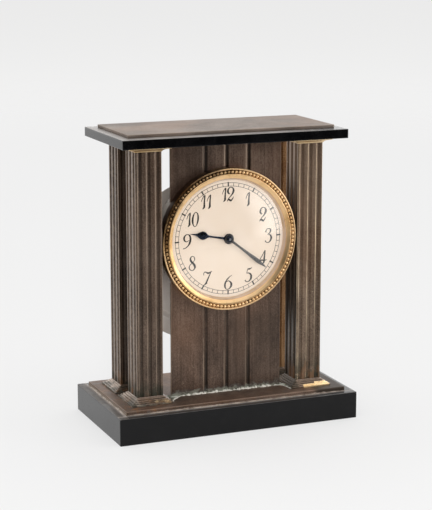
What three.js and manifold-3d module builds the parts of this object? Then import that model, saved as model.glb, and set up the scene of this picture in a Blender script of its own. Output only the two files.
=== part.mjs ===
// A table clock in the form of a small temple front: a stone base, four fluted bronze columns, a
// grooved bronze panel carrying a round clock, and a stone top. Millimetres, +Z up, the front faces -Y,
// the origin is at the bottom centre of the base. Everything is built in place.
import * as THREE from "three";
import { mergeVertices } from "three/addons/utils/BufferGeometryUtils.js";
import Module from "manifold-3d";

// ---------------------------------------------------------------- driving dimensions
const BASE = { w: 150, d: 80.2, h: 16 };
const BASE_PLATE = { w: 139.1, d: 69.3, t: 2.4 };
const TOP_SLAB = { w: 139.3, d: 68.7, z: 168.8, t: 5.4 };
const TOP_PLATE = { w: 128.1, d: 53.8, t: 2.0 };

const COL_SIDE = 16.05; // square columns
const COL_X = 50.57; // column axes at x = +-COL_X, y = +-COL_Y
const COL_Y = 14.87;
const FLUTE = { w: 2.6, d: 0.95 }; // three to a face, a third of the face apart
const FLOOR_Z = BASE.h + BASE_PLATE.t; // top of the base plate
const COL_Z0 = 22.4; // plinth top
const COL_Z1 = 164.7; // capital foot
const ROD_R = 1.6; // tie rods up the columns
const ROD_HOLE = 2.0;

const PANEL = { w: 70, y0: -16, y1: -13, grooveW: 2.5, grooveD: 0.9, grooves: [-14, 0, 14] };

const CZ = 111.4; // height of the hand arbor
const BEZEL_R = 42.3;
const DIAL = { r: 37, y0: -18.9, y1: -18.1 };
const GLASS_R = 36.1;
const SIGHT_R = 36.4; // what the bezel leaves visible of the dial
const MINUTE_ANGLE = 128.3; // degrees clockwise from twelve
const HOUR_ANGLE = 280.7;
const MINUTE_LEN = 30.5;
const HOUR_LEN = 24.8;

const CAN = { r: 31.5, wall: 0.8, y0: -12.7, y1: 16.0, flange: 34.3 };
const COVER = { r: 49.9, z: 91.2, y0: 22.95, y1: 27.8 };

// movement: plates and wheel train; positions are (x, z - CZ)
const PLATE_R = 30.2;
const FRONT_PLATE = [-9.4, -8.0];
const BACK_PLATE = [5.5, 7.0];
const TEETH = { barrel: 48, inter: 40, interPin: 8, centre: 48, centrePin: 8, third: 45, thirdPin: 6, fourth: 60, fourthPin: 6, escapePin: 6, escape: 15, cannon: 10, minute: 30, minutePin: 8, hour: 32, ratchet: 24 };
const MOD = { barrel: 12.5 / 24, inter: 0.48, centre: 0.42, third: 0.36, fourth: 0.27, motion: 0.4 };

// ---------------------------------------------------------------- materials
const mat = (color, roughness, metalness, extra = {}) => new THREE.MeshStandardMaterial({ color, roughness, metalness, ...extra });
const STONE = mat(0x1c1b1d, 0.12, 0.0);
const BRONZE = mat(0x4b3e34, 0.5, 0.85);
const GILT = mat(0xc8a05a, 0.28, 1.0);
const NICKEL = mat(0xa59c92, 0.35, 1.0);
const BRASS = mat(0xb5924c, 0.35, 1.0);
const STEEL = mat(0x8d9096, 0.3, 1.0);
const BLUED = mat(0x232a38, 0.3, 0.9);
const CREAM = mat(0xf0dec4, 0.6, 0.0);
const GLASS = mat(0xf4f7f8, 0.03, 0.0, { transparent: true, opacity: 0.2 });

// ---------------------------------------------------------------- solids
const wasm = await Module();
wasm.setup();

function toSolid(geometry) {
  const g = geometry.clone();
  for (const name of Object.keys(g.attributes)) if (name !== "position") g.deleteAttribute(name);
  const m = mergeVertices(g, 1e-4);
  const p = m.attributes.position.array;
  const tri = [];
  let volume = 0;
  for (let i = 0; i < m.index.count; i += 3) {
    const [a, b, c] = [m.index.getX(i), m.index.getX(i + 1), m.index.getX(i + 2)];
    if (a === b || b === c || a === c) continue;
    tri.push(a, b, c);
    const [x, y, z] = [3 * a, 3 * b, 3 * c];
    volume += p[x] * (p[y + 1] * p[z + 2] - p[y + 2] * p[z + 1]) + p[x + 1] * (p[y + 2] * p[z] - p[y] * p[z + 2]) + p[x + 2] * (p[y] * p[z + 1] - p[y + 1] * p[z]);
  }
  if (volume < 0) for (let i = 0; i < tri.length; i += 3) [tri[i + 1], tri[i + 2]] = [tri[i + 2], tri[i + 1]];
  return new wasm.Manifold(new wasm.Mesh({ numProp: 3, vertProperties: new Float32Array(p), triVerts: new Uint32Array(tri) }));
}

const shapeOf = (points, holes = []) => {
  const s = new THREE.Shape(points.map(([x, y]) => new THREE.Vector2(x, y)));
  for (const h of holes) s.holes.push(new THREE.Path(h.map(([x, y]) => new THREE.Vector2(x, y))));
  return s;
};
// an outline in (x, z) drawn out along Y, an outline in (x, y) drawn up along Z
function alongY(points, y0, y1, holes = []) {
  const g = new THREE.ExtrudeGeometry(shapeOf(points, holes), { depth: y1 - y0, bevelEnabled: false });
  g.rotateX(Math.PI / 2).translate(0, y1, 0);
  return toSolid(g);
}
function alongZ(points, z0, z1, holes = []) {
  const g = new THREE.ExtrudeGeometry(shapeOf(points, holes), { depth: z1 - z0, bevelEnabled: false });
  g.translate(0, 0, z0);
  return toSolid(g);
}
const box = (x0, x1, y0, y1, z0, z1) => toSolid(new THREE.BoxGeometry(x1 - x0, y1 - y0, z1 - z0).translate((x0 + x1) / 2, (y0 + y1) / 2, (z0 + z1) / 2));
const rod = (x, z, r, y0, y1, seg = 10) => toSolid(new THREE.CylinderGeometry(r, r, y1 - y0, seg).translate(x, (y0 + y1) / 2, z));
const post = (x, y, r, z0, z1, seg = 8) => toSolid(new THREE.CylinderGeometry(r, r, z1 - z0, seg).rotateX(Math.PI / 2).translate(x, y, (z0 + z1) / 2));
// a profile of [radius, y] turned about an axis along Y; it starts and ends on the axis, or closes on itself
function turned(profile, seg, x = 0, z = 0) {
  const pts = profile.map(([r, y]) => new THREE.Vector2(r, y));
  if (profile[0][0] > 0) pts.push(pts[0].clone());
  return toSolid(new THREE.LatheGeometry(pts, seg).translate(x, 0, z));
}
// a profile of [half side, z] carried round a square about a vertical axis
function squareTurned(profile, x, y) {
  const pts = profile.map(([h, z]) => new THREE.Vector2(h * Math.SQRT2, z));
  return toSolid(new THREE.LatheGeometry(pts, 4).rotateY(Math.PI / 4).rotateX(Math.PI / 2).translate(x, y, 0));
}
const polar = (x, z, r, a) => [x + r * Math.cos(a), z + r * Math.sin(a)];
const circle = (x, z, r, seg, a0 = 0) => Array.from({ length: seg }, (_, i) => polar(x, z, r, a0 + (2 * Math.PI * i) / seg));
const join = (first, ...rest) => rest.reduce((s, o) => s.add(o), first);
const cut = (first, ...rest) => rest.reduce((s, o) => s.subtract(o), first);
const deg = Math.PI / 180;

const clock = new THREE.Group();
const groups = {};
function add(name, solid, material, group) {
  if (!groups[group]) {
    groups[group] = new THREE.Group();
    clock.add(groups[group]);
  }
  const m = solid.getMesh();
  const v = new Float32Array(m.numVert * 3);
  for (let i = 0; i < m.numVert; i++) v.set(m.vertProperties.subarray(i * m.numProp, i * m.numProp + 3), 3 * i);
  const g = new THREE.BufferGeometry();
  g.setAttribute("position", new THREE.BufferAttribute(v, 3));
  g.setIndex(new THREE.BufferAttribute(new Uint32Array(m.triVerts), 1));
  g.computeVertexNormals();
  const mesh = new THREE.Mesh(g, material);
  mesh.name = name;
  groups[group].add(mesh);
}

// ---------------------------------------------------------------- case
const corners = [
  ["front_left", -1, -1],
  ["front_right", 1, -1],
  ["rear_left", -1, 1],
  ["rear_right", 1, 1],
];
const eachColumn = (f) => corners.map(([, sx, sy]) => f(sx * COL_X, sy * COL_Y));
const RECESS_R = 5.2;
const RECESS_Z = 5.0;

add(
  "base_slab",
  cut(
    box(-BASE.w / 2, BASE.w / 2, -BASE.d / 2, BASE.d / 2, 0, BASE.h),
    ...eachColumn((x, y) => post(x, y, ROD_HOLE, -1, BASE.h + 1)),
    ...eachColumn((x, y) => post(x, y, RECESS_R, -1, RECESS_Z, 12)),
  ),
  STONE,
  "case",
);

const TENON = [
  [-26, -17],
  [17, 26],
];
const TENON_Y = [PANEL.y0 + 0.4, PANEL.y1 - 0.4];
add(
  "base_plate",
  cut(
    box(-BASE_PLATE.w / 2, BASE_PLATE.w / 2, -BASE_PLATE.d / 2, BASE_PLATE.d / 2, BASE.h, FLOOR_Z),
    ...eachColumn((x, y) => post(x, y, ROD_HOLE, BASE.h - 1, FLOOR_Z + 1)),
    ...TENON.map(([a, b]) => box(a - 0.3, b + 0.3, TENON_Y[0] - 0.3, TENON_Y[1] + 0.3, BASE.h - 1, FLOOR_Z + 1)),
  ),
  BRONZE,
  "case",
);

// one column's outline: on each face flat, flute, flat, flute, flat, flute, flat
function columnOutline(cx, cy) {
  const h = COL_SIDE / 2;
  const side = [[-h, 0]];
  for (const k of [-1, 0, 1]) {
    const a = (k * COL_SIDE) / 3;
    for (const t of [-1, -0.6, 0, 0.6, 1]) side.push([a + (t * FLUTE.w) / 2, FLUTE.d * Math.sqrt(Math.max(0, 1 - t ** 2))]);
  }
  const out = [];
  for (let q = 0; q < 4; q++) {
    const [c, s] = [Math.round(Math.cos((q * Math.PI) / 2)), Math.round(Math.sin((q * Math.PI) / 2))];
    for (const [u, d] of side) {
      const [x, y] = [u, -h + d];
      out.push([cx + c * x - s * y, cy + s * x + c * y]);
    }
  }
  return out;
}

const COVER_SCREW_X = 47.75;
for (const [name, sx, sy] of corners) {
  const [x, y] = [sx * COL_X, sy * COL_Y];
  const h = COL_SIDE / 2;
  add(
    "plinth_" + name,
    cut(
      squareTurned([[0, FLOOR_Z], [h + 4.8, FLOOR_Z], [h + 4.8, FLOOR_Z + 1.0], [h + 3.5, FLOOR_Z + 1.1], [h + 3.1, FLOOR_Z + 1.8], [h + 1.7, FLOOR_Z + 2.5], [h + 1.15, FLOOR_Z + 2.6], [h + 1.15, FLOOR_Z + 3.5], [h + 0.1, COL_Z0], [0, COL_Z0]], x, y),
      post(x, y, ROD_HOLE, FLOOR_Z - 1, COL_Z0 + 1),
    ),
    BRONZE,
    "case",
  );
  let column = alongZ(columnOutline(x, y), COL_Z0, COL_Z1, [circle(x, y, ROD_HOLE, 8)]);
  if (sy > 0) column = column.subtract(rod(sx * COVER_SCREW_X, COVER.z, 1.3, 15, 25));
  add("column_" + name, column, BRONZE, "case");
  add(
    "capital_" + name,
    cut(
      squareTurned([[0, COL_Z1], [h + 0.2, COL_Z1], [h + 0.7, COL_Z1 + 0.9], [h + 2.0, COL_Z1 + 1.9], [h + 4.2, COL_Z1 + 2.6], [h + 4.4, COL_Z1 + 2.7], [h + 4.4, TOP_SLAB.z], [0, TOP_SLAB.z]], x, y),
      post(x, y, ROD_HOLE, COL_Z1 - 1, TOP_SLAB.z + 1),
    ),
    GILT,
    "case",
  );
  add("tie_rod_" + name, post(x, y, ROD_R, 1.2, TOP_SLAB.z + TOP_SLAB.t + 1.1), STEEL, "case");
  add("rod_nut_" + name, cut(post(x, y, 4.1, 1.6, 4.8, 6), post(x, y, ROD_R + 0.15, 0, 6)), BRASS, "case");
}

const TOP_Z = TOP_SLAB.z + TOP_SLAB.t;
add(
  "top_slab",
  cut(
    box(-TOP_SLAB.w / 2, TOP_SLAB.w / 2, -TOP_SLAB.d / 2, TOP_SLAB.d / 2, TOP_SLAB.z, TOP_Z),
    ...eachColumn((x, y) => post(x, y, ROD_HOLE, TOP_SLAB.z - 1, TOP_Z + 1)),
  ),
  STONE,
  "case",
);
add(
  "top_plate",
  cut(
    box(-TOP_PLATE.w / 2, TOP_PLATE.w / 2, -TOP_PLATE.d / 2, TOP_PLATE.d / 2, TOP_Z, TOP_Z + TOP_PLATE.t),
    ...eachColumn((x, y) => post(x, y, ROD_HOLE, TOP_Z - 1, TOP_Z + 1.3)),
  ),
  BRONZE,
  "case",
);

// a groove of the panel, narrower at its bottom
function groove(x) {
  const [a, b, y] = [PANEL.grooveW / 2, PANEL.grooveW / 6, PANEL.y0];
  return alongZ([[x - a, y - 1], [x + a, y - 1], [x + a, y], [x + b, y + PANEL.grooveD], [x - b, y + PANEL.grooveD], [x - a, y]], FLOOR_Z - 1, TOP_SLAB.z + 1);
}
const CAN_SCREWS = [45 * deg, 225 * deg].map((a) => polar(0, CZ, 32.9, a));
add(
  "dial_panel",
  cut(
    join(
      box(-PANEL.w / 2, PANEL.w / 2, PANEL.y0, PANEL.y1, FLOOR_Z, TOP_SLAB.z),
      ...TENON.map(([a, b]) => box(a, b, ...TENON_Y, BASE.h + 0.2, FLOOR_Z + 1)),
    ),
    ...PANEL.grooves.map(groove),
    rod(0, CZ, 3.2, PANEL.y0 - 1, PANEL.y1 + 1, 16),
    ...CAN_SCREWS.map(([x, z]) => rod(x, z, 1.1, -14.9, PANEL.y1 + 1, 8)),
  ),
  BRONZE,
  "case",
);

// ---------------------------------------------------------------- bezel, glass, dial
add(
  "bezel",
  turned([[37.4, -16], [BEZEL_R, -16], [BEZEL_R, -21.7], [41.6, -22.5], [39.4, -22.3], [37.8, -21.3], [SIGHT_R, -20.4], [SIGHT_R, -19.2], [37.4, -19.2]], 36, 0, CZ),
  GILT,
  "clock",
);
const domeY = (r, apex, rise) => apex + rise * (r / GLASS_R) ** 2;
const DOME = [0, 13, 25, GLASS_R];
add("crystal", turned([...DOME.map((r) => [r, domeY(r, -26.4, 5.6)]), [GLASS_R, -19.5], ...DOME.slice(0, -1).reverse().map((r) => [r, domeY(r, -25.4, 5.4)])], 32, 0, CZ), GLASS, "clock");
add("dial", cut(rod(0, CZ, DIAL.r, DIAL.y0, DIAL.y1, 36), rod(0, CZ, 2.7, -20, -17, 12)), CREAM, "clock");

// a hand: half widths along its length, mirrored, over a round boss, turned to its clock angle
function hand(stations, boss, bore, clockDegrees, y0, y1) {
  const a = clockDegrees * deg;
  const place = ([t, w]) => [t * Math.sin(a) + w * Math.cos(a), CZ + t * Math.cos(a) - w * Math.sin(a)];
  const right = stations.map(([t, w]) => place([t, w]));
  const left = stations.filter(([, w]) => w > 0).reverse().map(([t, w]) => place([t, -w]));
  return cut(join(alongY([...right, ...left], y0, y1), rod(0, CZ, boss, y0, y1, 16)), rod(0, CZ, bore, y0 - 1, y1 + 1, 12));
}
add("hour_hand", hand([[2, 0.75], [9, 0.5], [13, 0.65], [15, 1.7], [17, 2.4], [18.6, 1.7], [20.2, 0.7], [22, 0.4], [HOUR_LEN, 0]], 3.1, 1.98, HOUR_ANGLE, -20.2, -19.9), BLUED, "clock");
add("minute_hand", hand([[2, 0.75], [8, 0.6], [16, 0.95], [22, 1.25], [26, 0.8], [MINUTE_LEN, 0]], 2.8, 1.05, MINUTE_ANGLE, -21.0, -20.7), BLUED, "clock");
add("hand_nut", turned([[0.75, -21.05], [1.9, -21.05], [1.9, -21.5], [1.3, -22.1], [0.75, -22.1]], 16, 0, CZ), BLUED, "clock");

// ---------------------------------------------------------------- movement can and rear cover
const P = {}; // arbor positions in (x, z)
P.centre = [0, CZ];
P.inter = polar(0, CZ, (TEETH.inter + TEETH.centrePin) * MOD.inter * 0.5, -60 * deg);
{
  // the barrel axis lies 16.2 from the centre and one gear distance from the intermediate arbor
  const d = ((TEETH.barrel + TEETH.interPin) * MOD.barrel) / 2;
  const e = ((TEETH.inter + TEETH.centrePin) * MOD.inter) / 2;
  P.barrel = polar(0, CZ, 16.2, -60 * deg - Math.acos((16.2 ** 2 + e ** 2 - d ** 2) / (2 * 16.2 * e)));
}
P.third = polar(0, CZ, ((TEETH.centre + TEETH.thirdPin) * MOD.centre) / 2, 35 * deg);
P.fourth = polar(...P.third, ((TEETH.third + TEETH.fourthPin) * MOD.third) / 2, 110 * deg);
P.escape = polar(...P.fourth, ((TEETH.fourth + TEETH.escapePin) * MOD.fourth) / 2, 172 * deg);
P.lever = polar(...P.escape, 6.0, 188 * deg);
P.balance = polar(...P.lever, 8.8, 213 * deg);
P.minute = polar(0, CZ, ((TEETH.cannon + TEETH.minute) * MOD.motion) / 2, -20 * deg);

add(
  "movement_case",
  cut(
    turned([[0, CAN.y1], [0, CAN.y1 - CAN.wall], [CAN.r - CAN.wall, CAN.y1 - CAN.wall], [CAN.r - CAN.wall, CAN.y0], [CAN.flange, CAN.y0], [CAN.flange, CAN.y0 + 1], [CAN.r, CAN.y0 + 1], [CAN.r, CAN.y1 - 1], [CAN.r - 1, CAN.y1]].reverse(), 28, 0, CZ),
    rod(0, CZ, 1.5, 14, 18),
    rod(...P.barrel, 2.1, 14, 18),
    ...CAN_SCREWS.map(([x, z]) => rod(x, z, 1.1, CAN.y0 - 1, CAN.y0 + 2, 8)),
  ),
  NICKEL,
  "clock",
);
CAN_SCREWS.forEach(([x, z], i) => add("case_screw_" + (i + 1), join(rod(x, z, 0.85, -14.7, CAN.y0 + 1.2, 8), rod(x, z, 1.35, CAN.y0 + 1.05, CAN.y0 + 2.3, 10)), STEEL, "clock"));

add(
  "rear_cover",
  cut(
    turned([[0, 27.0], [38.5, 27.0], [41.0, COVER.y0], [COVER.r, COVER.y0], [COVER.r, 23.75], [41.5, 23.75], [39.0, COVER.y1], [0, COVER.y1]], 32, 0, COVER.z),
    rod(0, CZ, 2.2, 20, 30),
    rod(...P.barrel, 2.6, 20, 30),
    rod(-COVER_SCREW_X, COVER.z, 1.3, 20, 30, 8),
    rod(COVER_SCREW_X, COVER.z, 1.3, 20, 30, 8),
  ),
  NICKEL,
  "clock",
);
for (const [side, s] of [["left", -1], ["right", 1]])
  add("cover_screw_" + side, cut(join(rod(s * COVER_SCREW_X, COVER.z, 1.0, 16, 24, 8), rod(s * COVER_SCREW_X, COVER.z, 1.9, 23.8, 25.4, 12)), box(s * COVER_SCREW_X - 3, s * COVER_SCREW_X + 3, 24.8, 26, COVER.z - 0.3, COVER.z + 0.3)), STEEL, "clock");

// ---------------------------------------------------------------- plates
const PILLARS = [15, 100, 175, 295].map((a) => polar(0, CZ, 27.3, a * deg));
const FEET = [135, 315].map((a) => polar(0, CZ, 26.5, a * deg));
const pivotHoles = (y0, y1, names, r = 0.55) => names.map((n) => rod(...P[n], r, y0 - 1, y1 + 1, 6));
add(
  "front_plate",
  cut(
    join(
      rod(0, CZ, PLATE_R, ...FRONT_PLATE, 24),
      ...PILLARS.map(([x, z]) => rod(x, z, 1.7, FRONT_PLATE[1] - 0.5, BACK_PLATE[0], 8)),
      ...PILLARS.map(([x, z]) => rod(x, z, 1.1, BACK_PLATE[0] - 0.5, BACK_PLATE[1], 8)),
      ...FEET.map(([x, z]) => rod(x, z, 1.7, PANEL.y1 + 0.1, FRONT_PLATE[0] + 0.5, 8)),
      rod(...P.minute, 0.7, -12.3, FRONT_PLATE[0] + 0.5, 10),
    ),
    rod(0, CZ, 1.35, -11, -6, 12),
    rod(...P.barrel, 1.15, -11, -6, 10),
    ...pivotHoles(...FRONT_PLATE, ["inter", "third", "fourth", "escape", "lever", "balance"]),
  ),
  BRASS,
  "movement",
);
const CLICK = { pivot: polar(...P.barrel, 8.6, 40 * deg) };
const SPRING_FOOT = polar(...P.barrel, 13.2, 88 * deg);
const COCK_FOOT = polar(...P.balance, 12.6, 250 * deg);
add(
  "back_plate",
  cut(
    join(rod(0, CZ, PLATE_R, ...BACK_PLATE, 24), rod(...CLICK.pivot, 0.8, BACK_PLATE[1] - 0.5, 9.2, 10)),
    rod(0, CZ, 1.35, 3, 9, 12),
    rod(...P.barrel, 2.1, 3, 9, 12),
    rod(...P.balance, 1.0, 3, 9, 10),
    ...PILLARS.map(([x, z]) => rod(x, z, 1.25, 3, 9, 8)),
    ...pivotHoles(...BACK_PLATE, ["inter", "third", "fourth", "escape", "lever"]),
    rod(...COCK_FOOT, 1.15, 3, 9, 8),
    rod(...SPRING_FOOT, 0.65, 3, 9, 8),
  ),
  BRASS,
  "movement",
);

// ---------------------------------------------------------------- wheels
// a tooth or leaf leads to each neighbour; the neighbour has a space there
const angle = (from, to) => Math.atan2(to[1] - from[1], to[0] - from[0]);
function toothed([x, z], teeth, mod, phase, y0, y1, { pinion = false, windows = 0, hub = 0, bore = 0 } = {}) {
  const rp = (teeth * mod) / 2;
  const tip = rp + (pinion ? 0.7 : 0.85) * mod;
  const root = rp - (pinion ? 1.15 : 1.7) * mod;
  const step = (2 * Math.PI) / teeth;
  const pts = [];
  for (let i = 0; i < teeth; i++) {
    const a = phase + i * step;
    if (pinion) pts.push(polar(x, z, root, a - 0.2 * step), polar(x, z, tip, a - 0.08 * step), polar(x, z, tip, a + 0.08 * step), polar(x, z, root, a + 0.2 * step));
    else pts.push(polar(x, z, tip, a), polar(x, z, root, a + 0.5 * step));
  }
  const holes = [];
  const rim = root - 0.8;
  for (let k = 0; k < windows; k++) {
    const a = (2 * Math.PI * k) / windows + phase;
    const da = Math.PI / windows;
    const g = 0.55; // half a spoke
    const [o, i] = [Math.asin(g / rim), Math.asin(Math.min(0.9, g / hub))];
    const outer = [0, 0.5, 1].map((t) => polar(x, z, rim, a - da + o + t * 2 * (da - o)));
    const inner = [1, 0].map((t) => polar(x, z, hub, a - da + i + t * 2 * (da - i)));
    holes.push([...outer, ...inner]);
  }
  if (bore) holes.push(circle(x, z, bore, 12));
  return alongY(pts, y0, y1, holes);
}
const facing = (from, to, teeth) => angle(from, to) + Math.PI / teeth; // a space towards the neighbour

// barrel: a drum with the great wheel at its front end, lid behind, spring inside, arbor through it
const DRUM = { r: 11.4, y0: -6.7, y1: 3.6 };
const ARBOR_R = 2.4;
add(
  "barrel",
  join(
    toothed(P.barrel, TEETH.barrel, MOD.barrel, angle(P.barrel, P.inter), DRUM.y0, -5.4, { bore: ARBOR_R + 0.3 }),
    turned([[DRUM.r - 0.8, -5.9], [DRUM.r, -5.9], [DRUM.r, DRUM.y1], [DRUM.r - 0.8, DRUM.y1]], 24, ...P.barrel),
  ),
  BRASS,
  "movement",
);
add("barrel_cover", turned([[ARBOR_R + 0.3, 2.7], [DRUM.r - 0.95, 2.7], [DRUM.r - 0.95, 3.5], [ARBOR_R + 0.3, 3.5]], 24, ...P.barrel), BRASS, "movement");
function spiral([x, z], r0, r1, turns, thick, perTurn, a0, y0, y1) {
  const n = Math.round(turns * perTurn);
  const [outer, inner] = [[], []];
  for (let i = 0; i <= n; i++) {
    const t = i / n;
    const r = r0 + (r1 - r0) * t;
    const a = a0 + 2 * Math.PI * turns * t;
    outer.push(polar(x, z, r + thick / 2, a));
    inner.push(polar(x, z, r - thick / 2, a));
  }
  return alongY([...outer, ...inner.reverse()], y0, y1);
}
add("mainspring", spiral(P.barrel, 3.6, 9.9, 4, 0.5, 11, 0, -5.1, 2.4), STEEL, "movement");
add(
  "winding_arbor",
  turned([[0, -9.3], [0.95, -9.3], [0.95, -7.75], [ARBOR_R, -7.75], [ARBOR_R, 5.2], [1.8, 5.2], [1.8, 9.2], [1.6, 9.2], [1.6, 33.5], [0, 33.5]], 12, ...P.barrel),
  STEEL,
  "movement",
);
// ratchet and click: the steep faces stop the arbor from running back
const RATCHET_A = 70 * deg;
{
  const [x, z] = P.barrel;
  const step = (2 * Math.PI) / TEETH.ratchet;
  const pts = [];
  for (let i = 0; i < TEETH.ratchet; i++) pts.push(polar(x, z, 5.5, RATCHET_A + (i - 0.06) * step), polar(x, z, 6.4, RATCHET_A + i * step));
  add("ratchet_wheel", alongY(pts, 7.4, 8.7, [circle(x, z, 1.88, 12)]), STEEL, "movement");
}
{
  // the click turns on its stud and its nose drops into a ratchet space
  const at = (r, a) => polar(...P.barrel, r, a * deg);
  const arm = alongY([at(5.95, 67.4), at(7.2, 68.0), at(8.2, 63), at(9.3, 50), at(8.0, 42), at(6.85, 48), at(6.8, 58), at(6.6, 62)], 7.5, 8.6);
  add("click", cut(join(rod(...CLICK.pivot, 1.95, 7.5, 8.6, 14), arm), rod(...CLICK.pivot, 0.95, 7, 10, 10)), STEEL, "movement");
}
{
  // flat spring standing on the back plate, its free end just behind the click
  const tail = polar(...P.barrel, 9.9, 58 * deg);
  const a = angle(SPRING_FOOT, tail);
  const [nx, nz] = [-Math.sin(a) * 0.18, Math.cos(a) * 0.18];
  const [fx, fz] = SPRING_FOOT;
  const pts = [[fx + nx, fz + nz], [fx - nx, fz - nz], [tail[0] - nx, tail[1] - nz], [tail[0] + nx, tail[1] + nz]];
  add("click_spring", join(rod(fx, fz, 0.9, BACK_PLATE[1] + 0.05, 8.7, 10), rod(fx, fz, 0.5, 5.7, 7.5, 8), alongY(pts, 7.6, 8.5)), STEEL, "movement");
}

const PIV = 0.36; // pivot radius
const arbor = (p, r) => turned([[0, FRONT_PLATE[0] + 0.2], [PIV, FRONT_PLATE[0] + 0.2], [PIV, FRONT_PLATE[1] + 0.15], [r, FRONT_PLATE[1] + 0.15], [r, BACK_PLATE[0] - 0.15], [PIV, BACK_PLATE[0] - 0.15], [PIV, BACK_PLATE[1] - 0.2], [0, BACK_PLATE[1] - 0.2]], 6, ...p);
add(
  "intermediate_wheel",
  join(
    arbor(P.inter, 0.8),
    toothed(P.inter, TEETH.interPin, MOD.barrel, facing(P.inter, P.barrel, TEETH.interPin), -6.8, -4.9, { pinion: true }),
    toothed(P.inter, TEETH.inter, MOD.inter, angle(P.inter, P.centre), 4.0, 4.7, { windows: 3, hub: 2.4 }),
  ),
  BRASS,
  "movement",
);
const CENTRE_BORE = 1.1;
add(
  "centre_wheel",
  cut(
    join(
      rod(...P.centre, 1.36, -7.75, 5.2, 12),
      toothed(P.centre, TEETH.centrePin, MOD.inter, facing(P.centre, P.inter, TEETH.centrePin), 3.8, 5.0, { pinion: true }),
      toothed(P.centre, TEETH.centre, MOD.centre, angle(P.centre, P.third), -7.7, -7.0, { windows: 3, hub: 3 }),
    ),
    rod(...P.centre, CENTRE_BORE, -9, 7, 12),
  ),
  BRASS,
  "movement",
);
add(
  "third_wheel",
  join(
    arbor(P.third, 0.5),
    toothed(P.third, TEETH.thirdPin, MOD.centre, facing(P.third, P.centre, TEETH.thirdPin), -7.8, -6.5, { pinion: true }),
    toothed(P.third, TEETH.third, MOD.third, angle(P.third, P.fourth), -3.0, -2.4, { windows: 3, hub: 2 }),
  ),
  BRASS,
  "movement",
);
add(
  "fourth_wheel",
  join(
    arbor(P.fourth, 0.5),
    toothed(P.fourth, TEETH.fourthPin, MOD.third, facing(P.fourth, P.third, TEETH.fourthPin), -3.6, -1.8, { pinion: true }),
    toothed(P.fourth, TEETH.fourth, MOD.fourth, angle(P.fourth, P.escape), 0.2, 0.8, { windows: 3, hub: 2 }),
  ),
  BRASS,
  "movement",
);
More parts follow.
